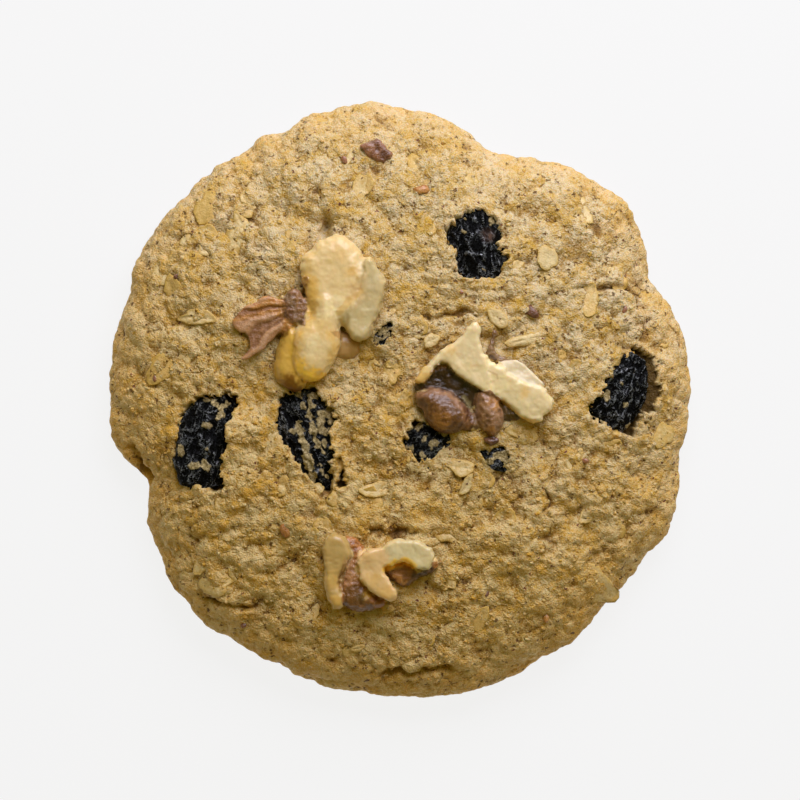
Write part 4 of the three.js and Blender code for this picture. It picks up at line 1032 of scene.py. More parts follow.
def smoothed(points, quads, times):
    # each point half way to the mean of its neighbours
    a = quads.ravel()
    b = np.roll(quads, -1, axis=1).ravel()
    ends, others = np.concatenate([a, b]), np.concatenate([b, a])
    share = np.bincount(ends, minlength=len(points))[:, None]
    for _ in range(times):
        total = [np.bincount(ends, points[others, axis], len(points)) for axis in range(3)]
        points = 0.5 * points + 0.5 * np.stack(total, axis=1) / share
    return points


def colorShare(x, y, shape, soft):
    # 1 inside the shape and 0 outside it: an outline, a spot (x, y, radius) or a line of (x, y, half width)
    shape = np.array(shape, float)
    if shape.ndim == 1:
        inside = shape[2] - np.hypot(x - shape[0], y - shape[1])
    elif shape.shape[1] == 2:
        inside = outlineDistance(x, y, shape)
    else:
        away, along = pathDistance(x, y, shape[:, :2])
        inside = np.interp(along, np.linspace(0, 1, len(shape)), shape[:, 2]) - away
    rough = noiseSum(flatPlaces(x, y), walnutMesh["colorNoise"])
    return softStep(-0.5 * soft, 0.5 * soft, inside + walnutMesh["colorRag"] * soft * rough)


def skinCreases(points, values):
    # ridges in two sizes; on the fan sines of the angle round its root, on the rings sines of the
    # distance from their middle, each blended in over its own reach
    x, y = points[:, 0], points[:, 1]
    crinkle = sum(high * ridgeNoise(points, size, seed) for size, high, seed in walnutRelief["creases"])
    crinkle = crinkle - walnutRelief["creaseMean"] + noiseSum(points, walnutRelief["creaseNoise"])
    if "fan" in values:
        toX, toY = x - values["fan"][0], y - values["fan"][1]
        wave = walnutRelief["fanTurns"] * np.arctan2(toY, -toX) + noiseSum(points, walnutRelief["fanNoise"])
        second = np.sin(walnutRelief["fanSecondTurns"] * wave + 1)
        streaks = np.sin(wave) + walnutRelief["fanSecond"] * second
        share = softStep(walnutRelief["fanFrom"], walnutRelief["fanTo"], -toX)
        crinkle = crinkle + share * (walnutRelief["fanHigh"] * streaks - walnutRelief["fanClear"] * crinkle)
    if "rings" in values:
        away = np.hypot(x - values["rings"][0], y - values["rings"][1])
        away = away + noiseSum(points, walnutRelief["ringNoise"])
        waves = np.sin(walnutRelief["ringTurns"] * away)
        waves = waves * softStep(*walnutRelief["ringGapRange"], noiseSum(points, walnutRelief["ringGaps"]))
        share = softStep(walnutRelief["ringFrom"], walnutRelief["ringTo"], away)
        crinkle = crinkle + share * (walnutRelief["ringHigh"] * waves - walnutRelief["ringClear"] * crinkle)
    return crinkle


def addWalnut(name, values):
    # lobes fused and smoothed, the colors laid on in turn, then pushed out: creases where skin
    # covers it, soft noise on the flesh and rougher noise on the flesh's steep sides
    parts, sides, count = [], [], 0
    for n, lobe in enumerate(values["lobes"]):
        lobe["line"] = smoothOutline(lobe["outline"], walnutMesh["outlineSteps"],
                                     lobe.get("rag", walnutMesh["rag"]), walnutMesh["ragSeed"] + n)
        points, faces = lobeMesh(lobe)
        parts.append(points)
        sides.append(faces + count)
        count += len(points)
    points, quads = fusedMesh(np.concatenate(parts), np.concatenate(sides), walnutMesh["voxel"])
    points = smoothed(points, quads, values["smoothings"])
    x, y = points[:, 0], points[:, 1]
    color = np.tile(walnutColors["cream"], (len(points), 1))
    skin = np.zeros(len(points))
    for key, shape, soft, most in values["colors"]:
        share = most * colorShare(x, y, shape, soft)
        color += share[:, None] * (np.array(walnutColors[key]) - color)
        skin += share * ((key in skinColors) - skin)
    normals = meshNormals(points, quads[:, :3])
    crinkle = skinCreases(points, values)
    steep = 1 - np.abs(normals[:, 2])
    soft = noiseSum(points, walnutRelief["flesh"]) + steep * noiseSum(points, walnutRelief["brokenSides"])
    push = skin * walnutRelief["creaseDeep"] * crinkle + (1 - skin) * soft
    points = points + normals * push[:, None]
    ridge = walnutRelief["ridgeMiddle"] + walnutRelief["ridgeShare"] * crinkle
    piece = addMesh(name, points, quads, {"tint": color, "skin": skin, "ridge": ridge})
    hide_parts(values["node"])
    return piece


speckShape = {
    "wide": 0.7, "flat": 0.3, "lift": 0.05, "turn": 2.4, "uneven": (0.55, 0.45, 67), "ridge": (0.6, 0.3, 65),
}
nutSpecks = [  # x, y, half width, color
    (2.8, 28.8, 1.1, "bronze"), (18.2, 12.1, 1.0, "plum"), (-15.5, -17.8, 1.1, "bronze"),
    (11.7, -26.6, 0.8, "plum"), (-30.5, 17.0, 0.5, "plum"), (25.5, -8.3, 0.5, "rosy"),
    (-7.5, 33.0, 0.6, "rosy"), (31.0, 12.5, 0.6, "rosy"), (-21.5, -31.0, 0.5, "plum"),
    (8.5, 14.8, 0.4, "rosy"), (-33.5, 3.0, 0.5, "rosy"), (20.2, -30.0, 0.6, "bronze"),
]


def addSpecks():
    # balls of half sizes 1, wide and flat times the reach, pushed out by noise, on the coarse dough
    ball, triangles = ballTemplate()
    points, faces, color = [], [], []
    for n, (x, y, reach, key) in enumerate(nutSpecks):
        level = coarseHeight(np.array([x]), np.array([y]))[0]
        shape = ball * [reach, speckShape["wide"] * reach, speckShape["flat"] * reach]
        shape = turnPoints(shape[None], np.zeros(1), np.array([speckShape["turn"] * n]))[0]
        shape = shape + [x, y, level + speckShape["lift"]]
        uneven = reach * noiseSum(shape, [speckShape["uneven"]])
        points.append(shape + uneven[:, None] * ball * [1, 1, speckShape["flat"]])
        faces.append(triangles + n * len(ball))
        color.append(np.tile(walnutColors[key], (len(ball), 1)))
    points, color = np.concatenate(points), np.concatenate(color)
    ridge = walnutRelief["ridgeMiddle"] + noiseSum(points, [speckShape["ridge"]])
    attributes = {"tint": color, "skin": np.ones(len(points)), "ridge": ridge}
    piece = addMesh("nutSpecks", points, np.concatenate(faces), attributes)
    return piece


walnutPieces = []
for node, values in walnuts.items():
    values["node"] = node
    walnutPieces.append(addWalnut(node + "_nut", values))
walnutPieces.append(addSpecks())
print("walnuts:", [len(piece.data.polygons) for piece in walnutPieces])


# Raisin meshes: ovals flattened on top, covered with folds that run along them

raisinSkin = {
    "folds": (2.1, 0.34, 84), "ridges": (0.85, 0.24, 85), "fine": (0.42, 0.1, 86),  # size, height, seed
    "stretch": 1.6, "warp": 0.55, "warpSize": 1.6, "warpSeed": 81, "fineWarp": 0.3, "shrink": 0.12,
    "flatShare": 0.86, "flatPower": 0.64, "flatLeast": 0.02, "sink": 0.3, "spacing": 0.1,
    "alongShare": 2.4, "filmThick": 0.12, "filmNoise": [(0.4, 0.08, 87)],
    "rust": (12.2, 22.6, 1.4), "rustFull": 0.3,
}


def addRaisin(name, values):
    # (long cos s, wide sin s cos t, thick sin s sin t), s from end to end and t round it, with
    # the upper half's height h made flatShare h^flatPower, and folds pushed out of it
    around = int(2 * np.pi * (values["wide"] + values["thick"]) / 2 / raisinSkin["spacing"])
    along = int(raisinSkin["alongShare"] * values["long"] / raisinSkin["spacing"])
    rows = np.pi * (np.arange(along) + 0.5) / along
    s, t = np.meshgrid(rows, 2 * np.pi * np.arange(around) / around, indexing="ij")
    s, t = np.append(s.ravel(), [0, np.pi]), np.append(t.ravel(), [0, 0])
    ball = np.stack([np.cos(s), np.sin(s) * np.cos(t), np.sin(s) * np.sin(t)], axis=1)
    halves = np.array([values["long"], values["wide"], values["thick"]])
    points = ball * halves
    raised = np.maximum(ball[:, 2], raisinSkin["flatLeast"]) ** (raisinSkin["flatPower"] - 1)
    points[:, 2] *= np.where(ball[:, 2] > 0, raisinSkin["flatShare"] * raised, 1)
    shift = np.array([*values["at"], 0])
    q = points / [raisinSkin["stretch"], 1, 1] + shift
    warpSize, warpSeed = raisinSkin["warpSize"], raisinSkin["warpSeed"]
    warp = np.stack([valueNoise(q, warpSize, warpSeed + axis) for axis in range(3)], axis=1)
    q = q + raisinSkin["warp"] * warp
    push = -raisinSkin["shrink"]
    crests = []
    for key, spot in (("folds", q), ("ridges", q), ("fine", q + raisinSkin["fineWarp"] * warp)):
        size, high, seed = raisinSkin[key]
        crests.append(ridgeNoise(spot, size, seed))
        push = push + high * (crests[-1] - 0.5)
    outward = ball / halves
    outward /= np.linalg.norm(outward, axis=1)[:, None]
    points = points + outward * push[:, None]
    turn = math.radians(values["turn"])
    c, sn = math.cos(turn), math.sin(turn)
    x, y, z = points.T
    level = topHeight(shift[:1], shift[1:2])[0] + values["lift"] - raisinSkin["sink"]
    points = np.stack([x * c - y * sn, x * sn + y * c, z + level], axis=1) + shift
    film = filmShare(points[:, 0], points[:, 1], values) * (outward[:, 2] > 0)
    points[:, 2] += film * (raisinSkin["filmThick"] + noiseSum(points, raisinSkin["filmNoise"]))
    n, m = np.meshgrid(np.arange(along - 1) * around, np.arange(around), indexing="ij")
    after = (m + 1) % around
    quads = np.stack([n + m, n + around + m, n + around + after, n + after], axis=2).reshape(-1, 4)
    m = np.arange(around)
    after = (m + 1) % around
    last = (along - 1) * around
    startCap = np.stack([m * 0 + len(s) - 2, m, after], axis=1)
    endCap = np.stack([m * 0 + len(s) - 1, last + after, last + m], axis=1)
    faces = np.concatenate([quads[:, [0, 1, 2]], quads[:, [0, 2, 3]], startCap, endCap])
    rx, ry, reach = raisinSkin["rust"]
    rusty = softStep(reach, raisinSkin["rustFull"], np.hypot(points[:, 0] - rx, points[:, 1] - ry))
    attributes = {"crest": 0.5 * crests[1] + 0.5 * crests[2], "film": film, "rust": rusty}
    piece = addMesh(name + "_skin", points, faces, attributes)
    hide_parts(name)
    return piece


raisinPieces = [addRaisin(name, values) for name, values in raisins.items()]
print("raisins:", [len(piece.data.polygons) for piece in raisinPieces])

# The flakes in their marked places, loose ones, smaller bits and the crumbs

markedFlakes = np.array(flakes["marked"])
markedFlakes[:, 4] = np.radians(markedFlakes[:, 4])
looseFlakes = scatterFlakes(flakes["count"], flakes["long"], flakes["wide"], flakes["paleBeta"],
                            flakes["seed"])
oatFlakes = addFlakes("oatFlakes", np.concatenate([markedFlakes, looseFlakes]), flakes["shapeSeed"])
bitSpots = scatterFlakes(flakes["bits"], flakes["bitLong"], flakes["bitLong"], flakes["bitPaleBeta"],
                         flakes["bitSeed"])
oatBits = addFlakes("oatBits", bitSpots, flakes["bitShapeSeed"])
doughCrumbs = addCrumbs()
print("oats and crumbs:", [len(piece.data.polygons) for piece in (oatFlakes, oatBits, doughCrumbs)])


# Materials

finish = {
    # sizes and reaches in millimetres; a range is low, high and what those become;
    # a pore is the size of the cells, its radius in them and the share of them that has one
    "dough": {
        # painted shade among these: the crease color darkens creases and lump borders, partly the dough's
        # own browner color there; the pore color darkens pores, splits and gaps; the hollow color darkens
        # the pits under the raisins; the first color on the next line is multiplied in to darken and warm
        # the lower left side
        "golden": (0.565, 0.338, 0.040), "pale": (0.675, 0.555, 0.325), "crease": (0.27, 0.132, 0.008),
        "baked": (0.98, 0.905, 0.69), "rim": (0.79, 0.485, 0.155), "pore": (0.12, 0.048, 0.004),
        "speck": (0.17, 0.055, 0.03), "hollow": (0.088, 0.046, 0.002), "stain": (0.20, 0.18, 0.085),
        "lumpSize": 1.5, "lumpWarp": 1.2, "warpSize": 1.1, "broadSize": 9, "mottleSize": 2.0,
        "grainSize": 0.6, "gritSize": 0.22,
        "palerBy": {"tone": 0.35, "lump": 0.2, "mottle": 0.3, "broad": 0.15, "grain": 0.5, "grit": 1.0},
        "paleRange": (0.9, 1.56), "pitSwing": -0.7, "borderPit": (0.12, 0.0, 0, 0.18),
        "creaseRange": (0.56, 1.15, 0, 0.8), "stainRange": (0.35, 0.6, 0.5, 1.0),
        "rimSize": 3.5, "rimRange": (0.3, 0.65, 0.35, 1.0), "rimShare": 0.6,
        "specks": (1.7, 0.085, 0.5), "widePores": (1.785, 0.12, 0.4), "pores": (0.85, 0.17, 0.45),
        "halos": (0.85, 0.3, 0.45), "poresDeep": (0.3, 0.65, 0.2, 1.0), "poreShare": 0.9, "haloShare": 0.3,
        "splitSize": 1.5, "splitWide": (0.07, 0.02), "splitSome": (0.6, 0.66), "splitDeep": (0.42, 0.68),
        "splitShare": 0.7, "gapSize": 4.5, "gapGrain": 0.35, "gapDeep": (1.06, 1.2),
        "gapSome": (0.35, 0.6, 0.35, 1.0), "openRange": (0.25, 0.9),
        "roughness": 0.62, "roughSwing": 0.12, "roughRange": (0.35, 0.7), "shine": 0.33,
        "glow": 0.25, "glowColor": (1.0, 0.55, 0.25), "glowReach": 0.7,
        "bumpSize": 0.8, "bumpHigh": 0.14, "borderBump": (0.0, 0.3, 0, 0.13), "gritBump": 0.26,
        "poreBump": -0.15,
    },
    "raisin": {
        # the second color is a painted glint on the fold lines
        "skin": (0.002, 0.002, 0.002), "glint": (0.13, 0.145, 0.15), "rust": (0.12, 0.07, 0.05),
        "dust": (0.56, 0.45, 0.225), "dustDark": (0.24, 0.17, 0.06),
        "foldSize": 1.15, "foldWide": (0.05, 0.0), "thinSize": 0.6325, "thinWide": (0.06, 0.0),
        "thinShare": 0.8,
        "litSize": 1.8, "litRange": (0.75, 1.25, 0.06, 1.0), "rustRange": (0.3, 0.8, 0.3, 1),
        "smearSize": 1.3, "smearRange": (0.69, 0.76, 0, 0.6), "dustSize": 0.3, "dustRange": (0.36, 0.6),
        "roughRange": (0.2, 0.8, 0.2, 0.75), "shineRange": (0.1, 0.9, 0.05, 1.0),
        "gloss": 0.6, "glossRoughness": 0.12, "bumpSize": 0.4, "bumpHigh": 0.15,
    },
    "walnut": {
        # the crease color darkens the skin's creases as painted shade, and the next color is a painted glint
        # on its crests
        "warm": (0.90, 0.76, 0.50), "crease": (0.40, 0.29, 0.22), "glint": (0.50, 0.335, 0.215),
        "skinEdge": (0.3, 0.7),
        "fineSize": 0.55, "patchSize": 2.0, "patchRange": (0.45, 0.72, 0, 0.25),
        "fineRange": (0.55, 0.75, 0, 0.06), "creaseShadeRange": (0.62, 0.15, 0, 0.8),
        "crestFine": 0.35, "glintRange": (0.8, 1.1, 0, 0.38),
        "fleshRoughness": 0.34, "skinRoughness": 0.27, "shine": 0.5, "fleshGloss": 0.1, "skinGloss": 0.4,
        "glossRoughness": 0.18, "glow": 0.4, "glowColor": (1.0, 0.6, 0.25), "glowReach": 1.1,
        "fleshBump": 0.02, "skinBump": 0.24,
    },
    "oat": {
        "cream": (0.73, 0.565, 0.275), "baked": (0.62, 0.405, 0.115),
        "mottleSize": 0.9, "mottleSwing": 1.2, "grainSwing": 1.2, "paleRange": (0.1, 0.85),
        "edgeMottle": 0.4, "edgeRange": (0.85, 1.25, 0, 0.7), "lowGrain": 0.6, "lowGrit": 0.5,
        "lowRange": (0.54, 0.36, 0, 0.35), "pores": (0.9, 0.16, 0.25),
        "roughness": 0.55, "shine": 0.4, "glow": 0.15, "glowColor": (1.0, 0.6, 0.3), "glowReach": 0.8,
        "bumpSize": 0.8, "bumpHigh": 0.22, "gritBump": 0.06,
    },
}
poreEdge = {"size": 0.26, "swing": 0.7, "outer": 1.4, "inner": 0.7}  # how uneven and how soft


def startMaterial(name):
    # an empty material, its nodes and its shader
    material = bpy.data.materials.new(name)
    material.use_nodes = True
    tree = material.node_tree
    return material, tree, tree.nodes["Principled BSDF"]


def feed(tree, socket, value):
    # a link where the value is a socket, a plain value otherwise
    if isinstance(value, bpy.types.NodeSocket):
        tree.links.new(value, socket)
    elif isinstance(value, tuple) and len(value) == 3 and socket.type == "RGBA":
        socket.default_value = (*value, 1)
    else:
        socket.default_value = value


def addNode(tree, kind, settings=None, **inputs):
    # an underline in an input's name stands for a space
    made = tree.nodes.new("ShaderNode" + kind)
    for key, value in (settings or {}).items():
        setattr(made, key, value)
    for key, value in inputs.items():
        feed(tree, made.inputs[key.replace("_", " ")], value)
    return made


def place(tree):
    # the place on the object, in metres
    return addNode(tree, "TexCoord").outputs["Object"]


def attribute(tree, name):
    # the mesh's own value of that name
    return addNode(tree, "Attribute", {"attribute_name": name}).outputs["Fac"]


def noise(tree, size, detail=2.0, roughness=0.5, warp=0.0):
    # noise whose lumps are size millimetres across
    made = addNode(tree, "TexNoise", Vector=place(tree), Scale=1 / (size * mm), Detail=detail,
                   Roughness=roughness, Distortion=warp)
    return made.outputs["Fac"]


def warpedPlace(tree, size, amount):
    # the place shifted by up to half the amount each way, both in millimetres
    shift = addNode(tree, "TexNoise", Vector=place(tree), Scale=1 / (size * mm), Detail=2.0).outputs["Color"]
    made = tree.nodes.new("ShaderNodeVectorMath")
    made.operation = "MULTIPLY_ADD"
    feed(tree, made.inputs[0], shift)
    made.inputs[1].default_value = (amount * mm,) * 3
    feed(tree, made.inputs[2], place(tree))
    return made.outputs[0]


def cells(tree, size, feature="F1", vector=None):
    # one scattered point a cell, cells size millimetres across
    vector = vector or place(tree)
    return addNode(tree, "TexVoronoi", {"feature": feature}, Vector=vector, Scale=1 / (size * mm))


def sums(tree, operation, a, b=0.0, c=None):
    # a and b put together by the operation, then c where it takes three
    made = tree.nodes.new("ShaderNodeMath")
    made.operation = operation
    feed(tree, made.inputs[0], a)
    feed(tree, made.inputs[1], b)
    if c is not None:
        feed(tree, made.inputs[2], c)
    return made.outputs[0]


def remap(tree, value, low, high, toLow=0.0, toHigh=1.0):
    # toLow + (toHigh - toLow) times the soft step from low to high
    return addNode(tree, "MapRange", {"interpolation_type": "SMOOTHSTEP"}, Value=value, From_Min=low,
                   From_Max=high, To_Min=toLow, To_Max=toHigh).outputs["Result"]


def blend(tree, share, a, b, kind="MIX"):
    # color a, with its share of color b
    made = addNode(tree, "Mix", {"data_type": "RGBA", "blend_type": kind})
    feed(tree, made.inputs[0], share)
    feed(tree, made.inputs[6], a)
    feed(tree, made.inputs[7], b)
    return made.outputs[2]


def addBump(tree, shader, height):
    # height in millimetres
    made = addNode(tree, "Bump", Strength=1.0, Distance=mm, Height=height)
    tree.links.new(made.outputs["Normal"], shader.inputs["Normal"])


def addSwing(tree, base, wave, share):
    # base + share (wave - 0.5), so that a noise leaves the mean as it is
    return sums(tree, "MULTIPLY_ADD", wave, share, sums(tree, "ADD", base, -0.5 * share))


def poreMask(tree, size, radius, share):
    # uneven spots in a share of the cells
    spots = cells(tree, size)
    away = addSwing(tree, spots.outputs["Distance"], noise(tree, poreEdge["size"], 2), poreEdge["swing"])
    close = remap(tree, away, radius * poreEdge["outer"], radius * poreEdge["inner"])
    chosen = addNode(tree, "SeparateColor", Color=spots.outputs["Color"]).outputs[0]
    return sums(tree, "MULTIPLY", close, sums(tree, "LESS_THAN", chosen, share))


def addGlow(shader, values):
    # light that goes in and comes out again, up to the reach away
    shader.inputs["Subsurface Weight"].default_value = values["glow"]
    shader.inputs["Subsurface Radius"].default_value = values["glowColor"]
    shader.inputs["Subsurface Scale"].default_value = values["glowReach"] * mm


def doughLumps(tree, values):
    # the paleness of each warped cell, and how far its nearest border is
    vector = warpedPlace(tree, values["warpSize"], values["lumpWarp"])
    lump = cells(tree, values["lumpSize"], "F1", vector)
    tone = addNode(tree, "SeparateColor", Color=lump.outputs["Color"]).outputs[0]
    return tone, cells(tree, values["lumpSize"], "DISTANCE_TO_EDGE", vector).outputs["Distance"]


def doughPores(tree, values, deep, border):
    # small pores where the dough lies deep, a few wide ones, and splits along some borders
    pores = sums(tree, "MULTIPLY", poreMask(tree, *values["pores"]), remap(tree, deep, *values["poresDeep"]))
    pores = sums(tree, "MAXIMUM", pores, poreMask(tree, *values["widePores"]))
    some = remap(tree, noise(tree, values["splitSize"], 1), *values["splitSome"])
    split = sums(tree, "MULTIPLY", remap(tree, border, *values["splitWide"]), some)
    split = sums(tree, "MULTIPLY", split, remap(tree, deep, *values["splitDeep"]))
    return sums(tree, "MAXIMUM", pores, sums(tree, "MULTIPLY", split, values["splitShare"]))


def doughMaterial():
    # lumps, each with its own paleness, browner and darker towards the creases between them, partly
    # painted shade; then stains, the rim, specks, painted shade on the lower left side, pores with their
    # halos, gaps and the hollows under the raisins, the pores, gaps and hollows darkened as painted shade
    values = finish["dough"]
    material, tree, shader = startMaterial("bakedDough")
    lumpTone, border = doughLumps(tree, values)
    mottle = noise(tree, values["mottleSize"], 3, 0.55)
    grain = noise(tree, values["grainSize"], 2, 0.5)
    grit = noise(tree, values["gritSize"], 2, 0.5)
    waves = {"lump": lumpTone, "tone": attribute(tree, "tone"), "mottle": mottle,
             "broad": noise(tree, values["broadSize"], 2), "grain": grain, "grit": grit}
    paleness = 0.0
    for key, wave in waves.items():
        paleness = sums(tree, "MULTIPLY_ADD", wave, values["palerBy"][key], paleness)
    color = blend(tree, remap(tree, paleness, *values["paleRange"]), values["golden"], values["pale"])
    # painted shade, partly the dough's own browner color: darker and browner where the dough lies deep and
    # along the lumps' borders
    deep = attribute(tree, "cavity")
    pit = addSwing(tree, addSwing(tree, deep, grain, values["pitSwing"]), grit, values["pitSwing"])
    pit = sums(tree, "ADD", pit, remap(tree, border, *values["borderPit"]))
    color = blend(tree, remap(tree, pit, *values["creaseRange"]), color, values["crease"])
    stain = sums(tree, "MULTIPLY", attribute(tree, "stain"), remap(tree, mottle, *values["stainRange"]))
    color = blend(tree, stain, color, values["stain"])
    patchy = remap(tree, noise(tree, values["rimSize"], 3), *values["rimRange"])
    rim = sums(tree, "MULTIPLY", attribute(tree, "brown"), patchy)
    color = blend(tree, sums(tree, "MULTIPLY", rim, values["rimShare"]), color, values["rim"])
    color = blend(tree, poreMask(tree, *values["specks"]), color, values["speck"])
    # painted shade: the lower left side is multiplied darker and warmer
    baked = blend(tree, 1.0, color, values["baked"], "MULTIPLY")
    color = blend(tree, attribute(tree, "bake"), color, baked)
    # painted shade: pores, splits and gaps where the dough lies deep are darkened
    pores = doughPores(tree, values, deep, border)
    most = remap(tree, noise(tree, values["gapSize"], 1), *values["gapSome"])
    gap = sums(tree, "MULTIPLY_ADD", grain, values["gapGrain"], deep)
    gap = remap(tree, gap, *values["gapDeep"], 0, most)
    halo = sums(tree, "MULTIPLY", poreMask(tree, *values["halos"]), values["haloShare"])
    color = blend(tree, halo, color, values["crease"])
    darkShade = sums(tree, "MULTIPLY", sums(tree, "MAXIMUM", pores, gap), values["poreShare"])
    color = blend(tree, darkShade, color, values["pore"])
    # painted shade in the pits where the raisins show, and on their walls
    color = blend(tree, remap(tree, attribute(tree, "open"), *values["openRange"]), color, values["hollow"])
    feed(tree, shader.inputs["Base Color"], color)
    rough, swing = values["roughness"], values["roughSwing"]
    rough = remap(tree, grain, *values["roughRange"], rough + swing, rough - swing)
    feed(tree, shader.inputs["Roughness"], rough)
    shader.inputs["Specular IOR Level"].default_value = values["shine"]
    addGlow(shader, values)
    height = sums(tree, "MULTIPLY", noise(tree, values["bumpSize"], 3, 0.55), values["bumpHigh"])
    height = sums(tree, "ADD", height, remap(tree, border, *values["borderBump"]))
    height = sums(tree, "MULTIPLY_ADD", grit, values["gritBump"], height)
    addBump(tree, shader, sums(tree, "MULTIPLY_ADD", pores, values["poreBump"], height))
    return material


def oatMaterial():
    # cream where the flake is pale, browner by mottles, by grain and towards its edge
    values, doughValues = finish["oat"], finish["dough"]
    material, tree, shader = startMaterial("toastedOat")
    mottle = noise(tree, values["mottleSize"], 3)
    grain = noise(tree, doughValues["grainSize"], 3, 0.65)
    grit = noise(tree, doughValues["gritSize"], 2, 0.5)
    share = addSwing(tree, attribute(tree, "pale"), mottle, values["mottleSwing"])
    share = addSwing(tree, share, grain, values["grainSwing"])
    color = blend(tree, remap(tree, share, *values["paleRange"]), values["baked"], values["cream"])
    edge = sums(tree, "MULTIPLY_ADD", mottle, values["edgeMottle"], attribute(tree, "rim"))
    color = blend(tree, remap(tree, edge, *values["edgeRange"]), color, doughValues["golden"])
    low = sums(tree, "MULTIPLY_ADD", grain, values["lowGrain"],
               sums(tree, "MULTIPLY", grit, values["lowGrit"]))
    color = blend(tree, remap(tree, low, *values["lowRange"]), color, doughValues["crease"])
    # painted shade: the flake's pores darkened
    color = blend(tree, poreMask(tree, *values["pores"]), color, doughValues["pore"])
    feed(tree, shader.inputs["Base Color"], color)
    shader.inputs["Roughness"].default_value = values["roughness"]
    shader.inputs["Specular IOR Level"].default_value = values["shine"]
    addGlow(shader, values)
    height = sums(tree, "MULTIPLY", noise(tree, values["bumpSize"], 3, 0.55), values["bumpHigh"])
    addBump(tree, shader, sums(tree, "MULTIPLY_ADD", grit, values["gritBump"], height))
    return material


def middleLines(tree, wave, wide):
    # thin lines where a noise passes through its middle
    away = sums(tree, "ABSOLUTE", sums(tree, "SUBTRACT", wave, 0.5))
    return remap(tree, away, *wide)


def raisinMaterial():
    # nearly black, with thin pale lines where a warped noise passes through its middle, which are
    # painted glints on the folds, and dough on it where a film was left
    values = finish["raisin"]
    material, tree, shader = startMaterial("raisinSkin")
    lines = middleLines(tree, noise(tree, values["foldSize"], 2, 0.55, 1.6), values["foldWide"])
    thin = middleLines(tree, noise(tree, values["thinSize"], 1, 0.5, 1.0), values["thinWide"])
    worm = sums(tree, "MAXIMUM", lines, sums(tree, "MULTIPLY", thin, values["thinShare"]))
    crest = attribute(tree, "crest")
    some = remap(tree, sums(tree, "ADD", crest, noise(tree, values["litSize"], 2)), *values["litRange"])
    lit = sums(tree, "MULTIPLY", worm, some)
    # painted glints: the fold lines made pale
    color = blend(tree, lit, values["skin"], values["glint"])
    rust = sums(tree, "MULTIPLY", attribute(tree, "rust"), remap(tree, crest, *values["rustRange"]))
    color = blend(tree, rust, color, values["rust"])
    smear = remap(tree, noise(tree, values["smearSize"], 4, 0.7), *values["smearRange"])
    film = sums(tree, "ADD", attribute(tree, "film"), smear)
    dusty = remap(tree, noise(tree, values["dustSize"], 4, 0.7), *values["dustRange"])
    color = blend(tree, film, color, blend(tree, dusty, values["dustDark"], values["dust"]))
    feed(tree, shader.inputs["Base Color"], color)
    feed(tree, shader.inputs["Roughness"], remap(tree, film, *values["roughRange"]))
    feed(tree, shader.inputs["Specular IOR Level"], remap(tree, lit, *values["shineRange"]))
    feed(tree, shader.inputs["Coat Weight"], sums(tree, "MULTIPLY", lit, values["gloss"]))
    shader.inputs["Coat Roughness"].default_value = values["glossRoughness"]
    uneven = sums(tree, "ADD", worm, noise(tree, values["bumpSize"], 3))
    addBump(tree, shader, sums(tree, "MULTIPLY", uneven, values["bumpHigh"]))
    return material


def walnutMaterial():
    # the mesh's own color, warmer in patches on the flesh; on the skin, painted shade in its creases
    # and a painted glint that makes its crests paler
    values = finish["walnut"]
    material, tree, shader = startMaterial("walnutFlesh")
    fine = noise(tree, values["fineSize"], 4, 0.6)
    patch = noise(tree, values["patchSize"], 3, 0.55)
    skin, ridge = attribute(tree, "skin"), attribute(tree, "ridge")
    base = addNode(tree, "Attribute", {"attribute_name": "tint"}).outputs["Color"]
    flesh = blend(tree, remap(tree, patch, *values["patchRange"]), base, values["warm"], "MULTIPLY")
    flesh = blend(tree, remap(tree, fine, *values["fineRange"]), flesh, values["warm"], "MULTIPLY")
    # painted shade in the skin's creases, then a painted glint on its crests
    creased = blend(tree, remap(tree, ridge, *values["creaseShadeRange"]), base, values["crease"], "MULTIPLY")
    crest = sums(tree, "MULTIPLY_ADD", fine, values["crestFine"], ridge)
    creased = blend(tree, remap(tree, crest, *values["glintRange"]), creased, values["glint"])
    feed(tree, shader.inputs["Base Color"], blend(tree, skin, flesh, creased))

    def byPart(fleshValue, skinValue):
        # one value on the flesh and another on the skin
        return remap(tree, skin, *values["skinEdge"], fleshValue, skinValue)

    feed(tree, shader.inputs["Roughness"], byPart(values["fleshRoughness"], values["skinRoughness"]))
    shader.inputs["Specular IOR Level"].default_value = values["shine"]
    feed(tree, shader.inputs["Coat Weight"], byPart(values["fleshGloss"], values["skinGloss"]))
    shader.inputs["Coat Roughness"].default_value = values["glossRoughness"]
    addGlow(shader, values)
    addBump(tree, shader, sums(tree, "MULTIPLY", fine, byPart(values["fleshBump"], values["skinBump"])))
    return material


for material, pieces in (
    (doughMaterial(), [doughPiece, doughCrumbs]), (raisinMaterial(), raisinPieces),
    (walnutMaterial(), walnutPieces), (oatMaterial(), [oatFlakes, oatBits]),
):
    for piece in pieces:
        piece.data.materials.append(material)
print("materials on")

# Camera, light and floor

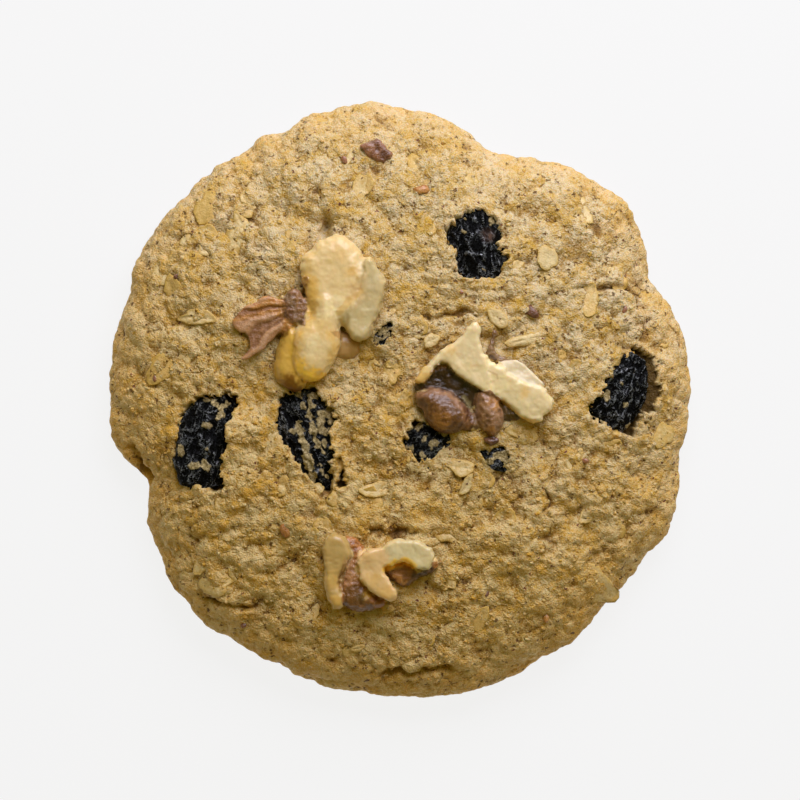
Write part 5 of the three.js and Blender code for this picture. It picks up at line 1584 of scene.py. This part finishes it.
stageSetup = {  # in metres
    "cameraHeight": 0.9, "frameWidth": 0.1104, "focusHeight": 0.005, "filmWidth": 36,
    "floorHalf": 3.0, "floorColor": (0.062, 0.062, 0.062), "floorGlow": 0.846, "floorRoughness": 0.9,
    "lampAt": (0.078, 0.26, 0.23), "lampAcross": 0.3, "lampPower": 1.66, "lampColor": (0.98, 0.97, 1.17),
    "roomStrength": 0.212, "roomColor": (1.0, 0.85, 0.2),
}


def addStage():
    # a glowing floor, a camera straight above whose lens is filmWidth height / frameWidth, one
    # soft lamp towards the middle and a dim room
    corners = np.array([[-1, -1, 0], [1, -1, 0], [1, 1, 0], [-1, 1, 0]]) * stageSetup["floorHalf"]
    mesh = bpy.data.meshes.new("floor")
    mesh.from_pydata(corners.tolist(), [], [[0, 1, 2, 3]])
    floor = bpy.data.objects.new("floor", mesh)
    bpy.context.scene.collection.objects.link(floor)
    material = bpy.data.materials.new("palePaper")
    material.use_nodes = True
    shader = material.node_tree.nodes["Principled BSDF"]
    shader.inputs["Base Color"].default_value = (*stageSetup["floorColor"], 1)
    shader.inputs["Roughness"].default_value = stageSetup["floorRoughness"]
    shader.inputs["Emission Color"].default_value = (1, 1, 1, 1)
    shader.inputs["Emission Strength"].default_value = stageSetup["floorGlow"]
    mesh.materials.append(material)
    camera = bpy.data.objects.new("camera", bpy.data.cameras.new("camera"))
    bpy.context.scene.collection.objects.link(camera)
    camera.location = (0, 0, stageSetup["cameraHeight"])
    away = stageSetup["cameraHeight"] - stageSetup["focusHeight"]
    camera.data.sensor_width = stageSetup["filmWidth"]
    camera.data.lens = stageSetup["filmWidth"] * away / stageSetup["frameWidth"]
    camera.data.clip_start = 0.01
    bpy.context.scene.camera = camera
    light = bpy.data.objects.new("window", bpy.data.lights.new("window", "AREA"))
    bpy.context.scene.collection.objects.link(light)
    light.data.size = stageSetup["lampAcross"]
    light.data.energy = stageSetup["lampPower"]
    light.data.color = stageSetup["lampColor"]
    light.location = stageSetup["lampAt"]
    light.rotation_euler = (-light.location).to_track_quat("-Z", "Y").to_euler()
    world = bpy.data.worlds.new("room")
    bpy.context.scene.world = world
    world.use_nodes = True
    world.node_tree.nodes["Background"].inputs["Color"].default_value = (*stageSetup["roomColor"], 1)
    world.node_tree.nodes["Background"].inputs["Strength"].default_value = stageSetup["roomStrength"]
    bpy.context.scene.view_settings.view_transform = "Standard"


addStage()
print("stage set")
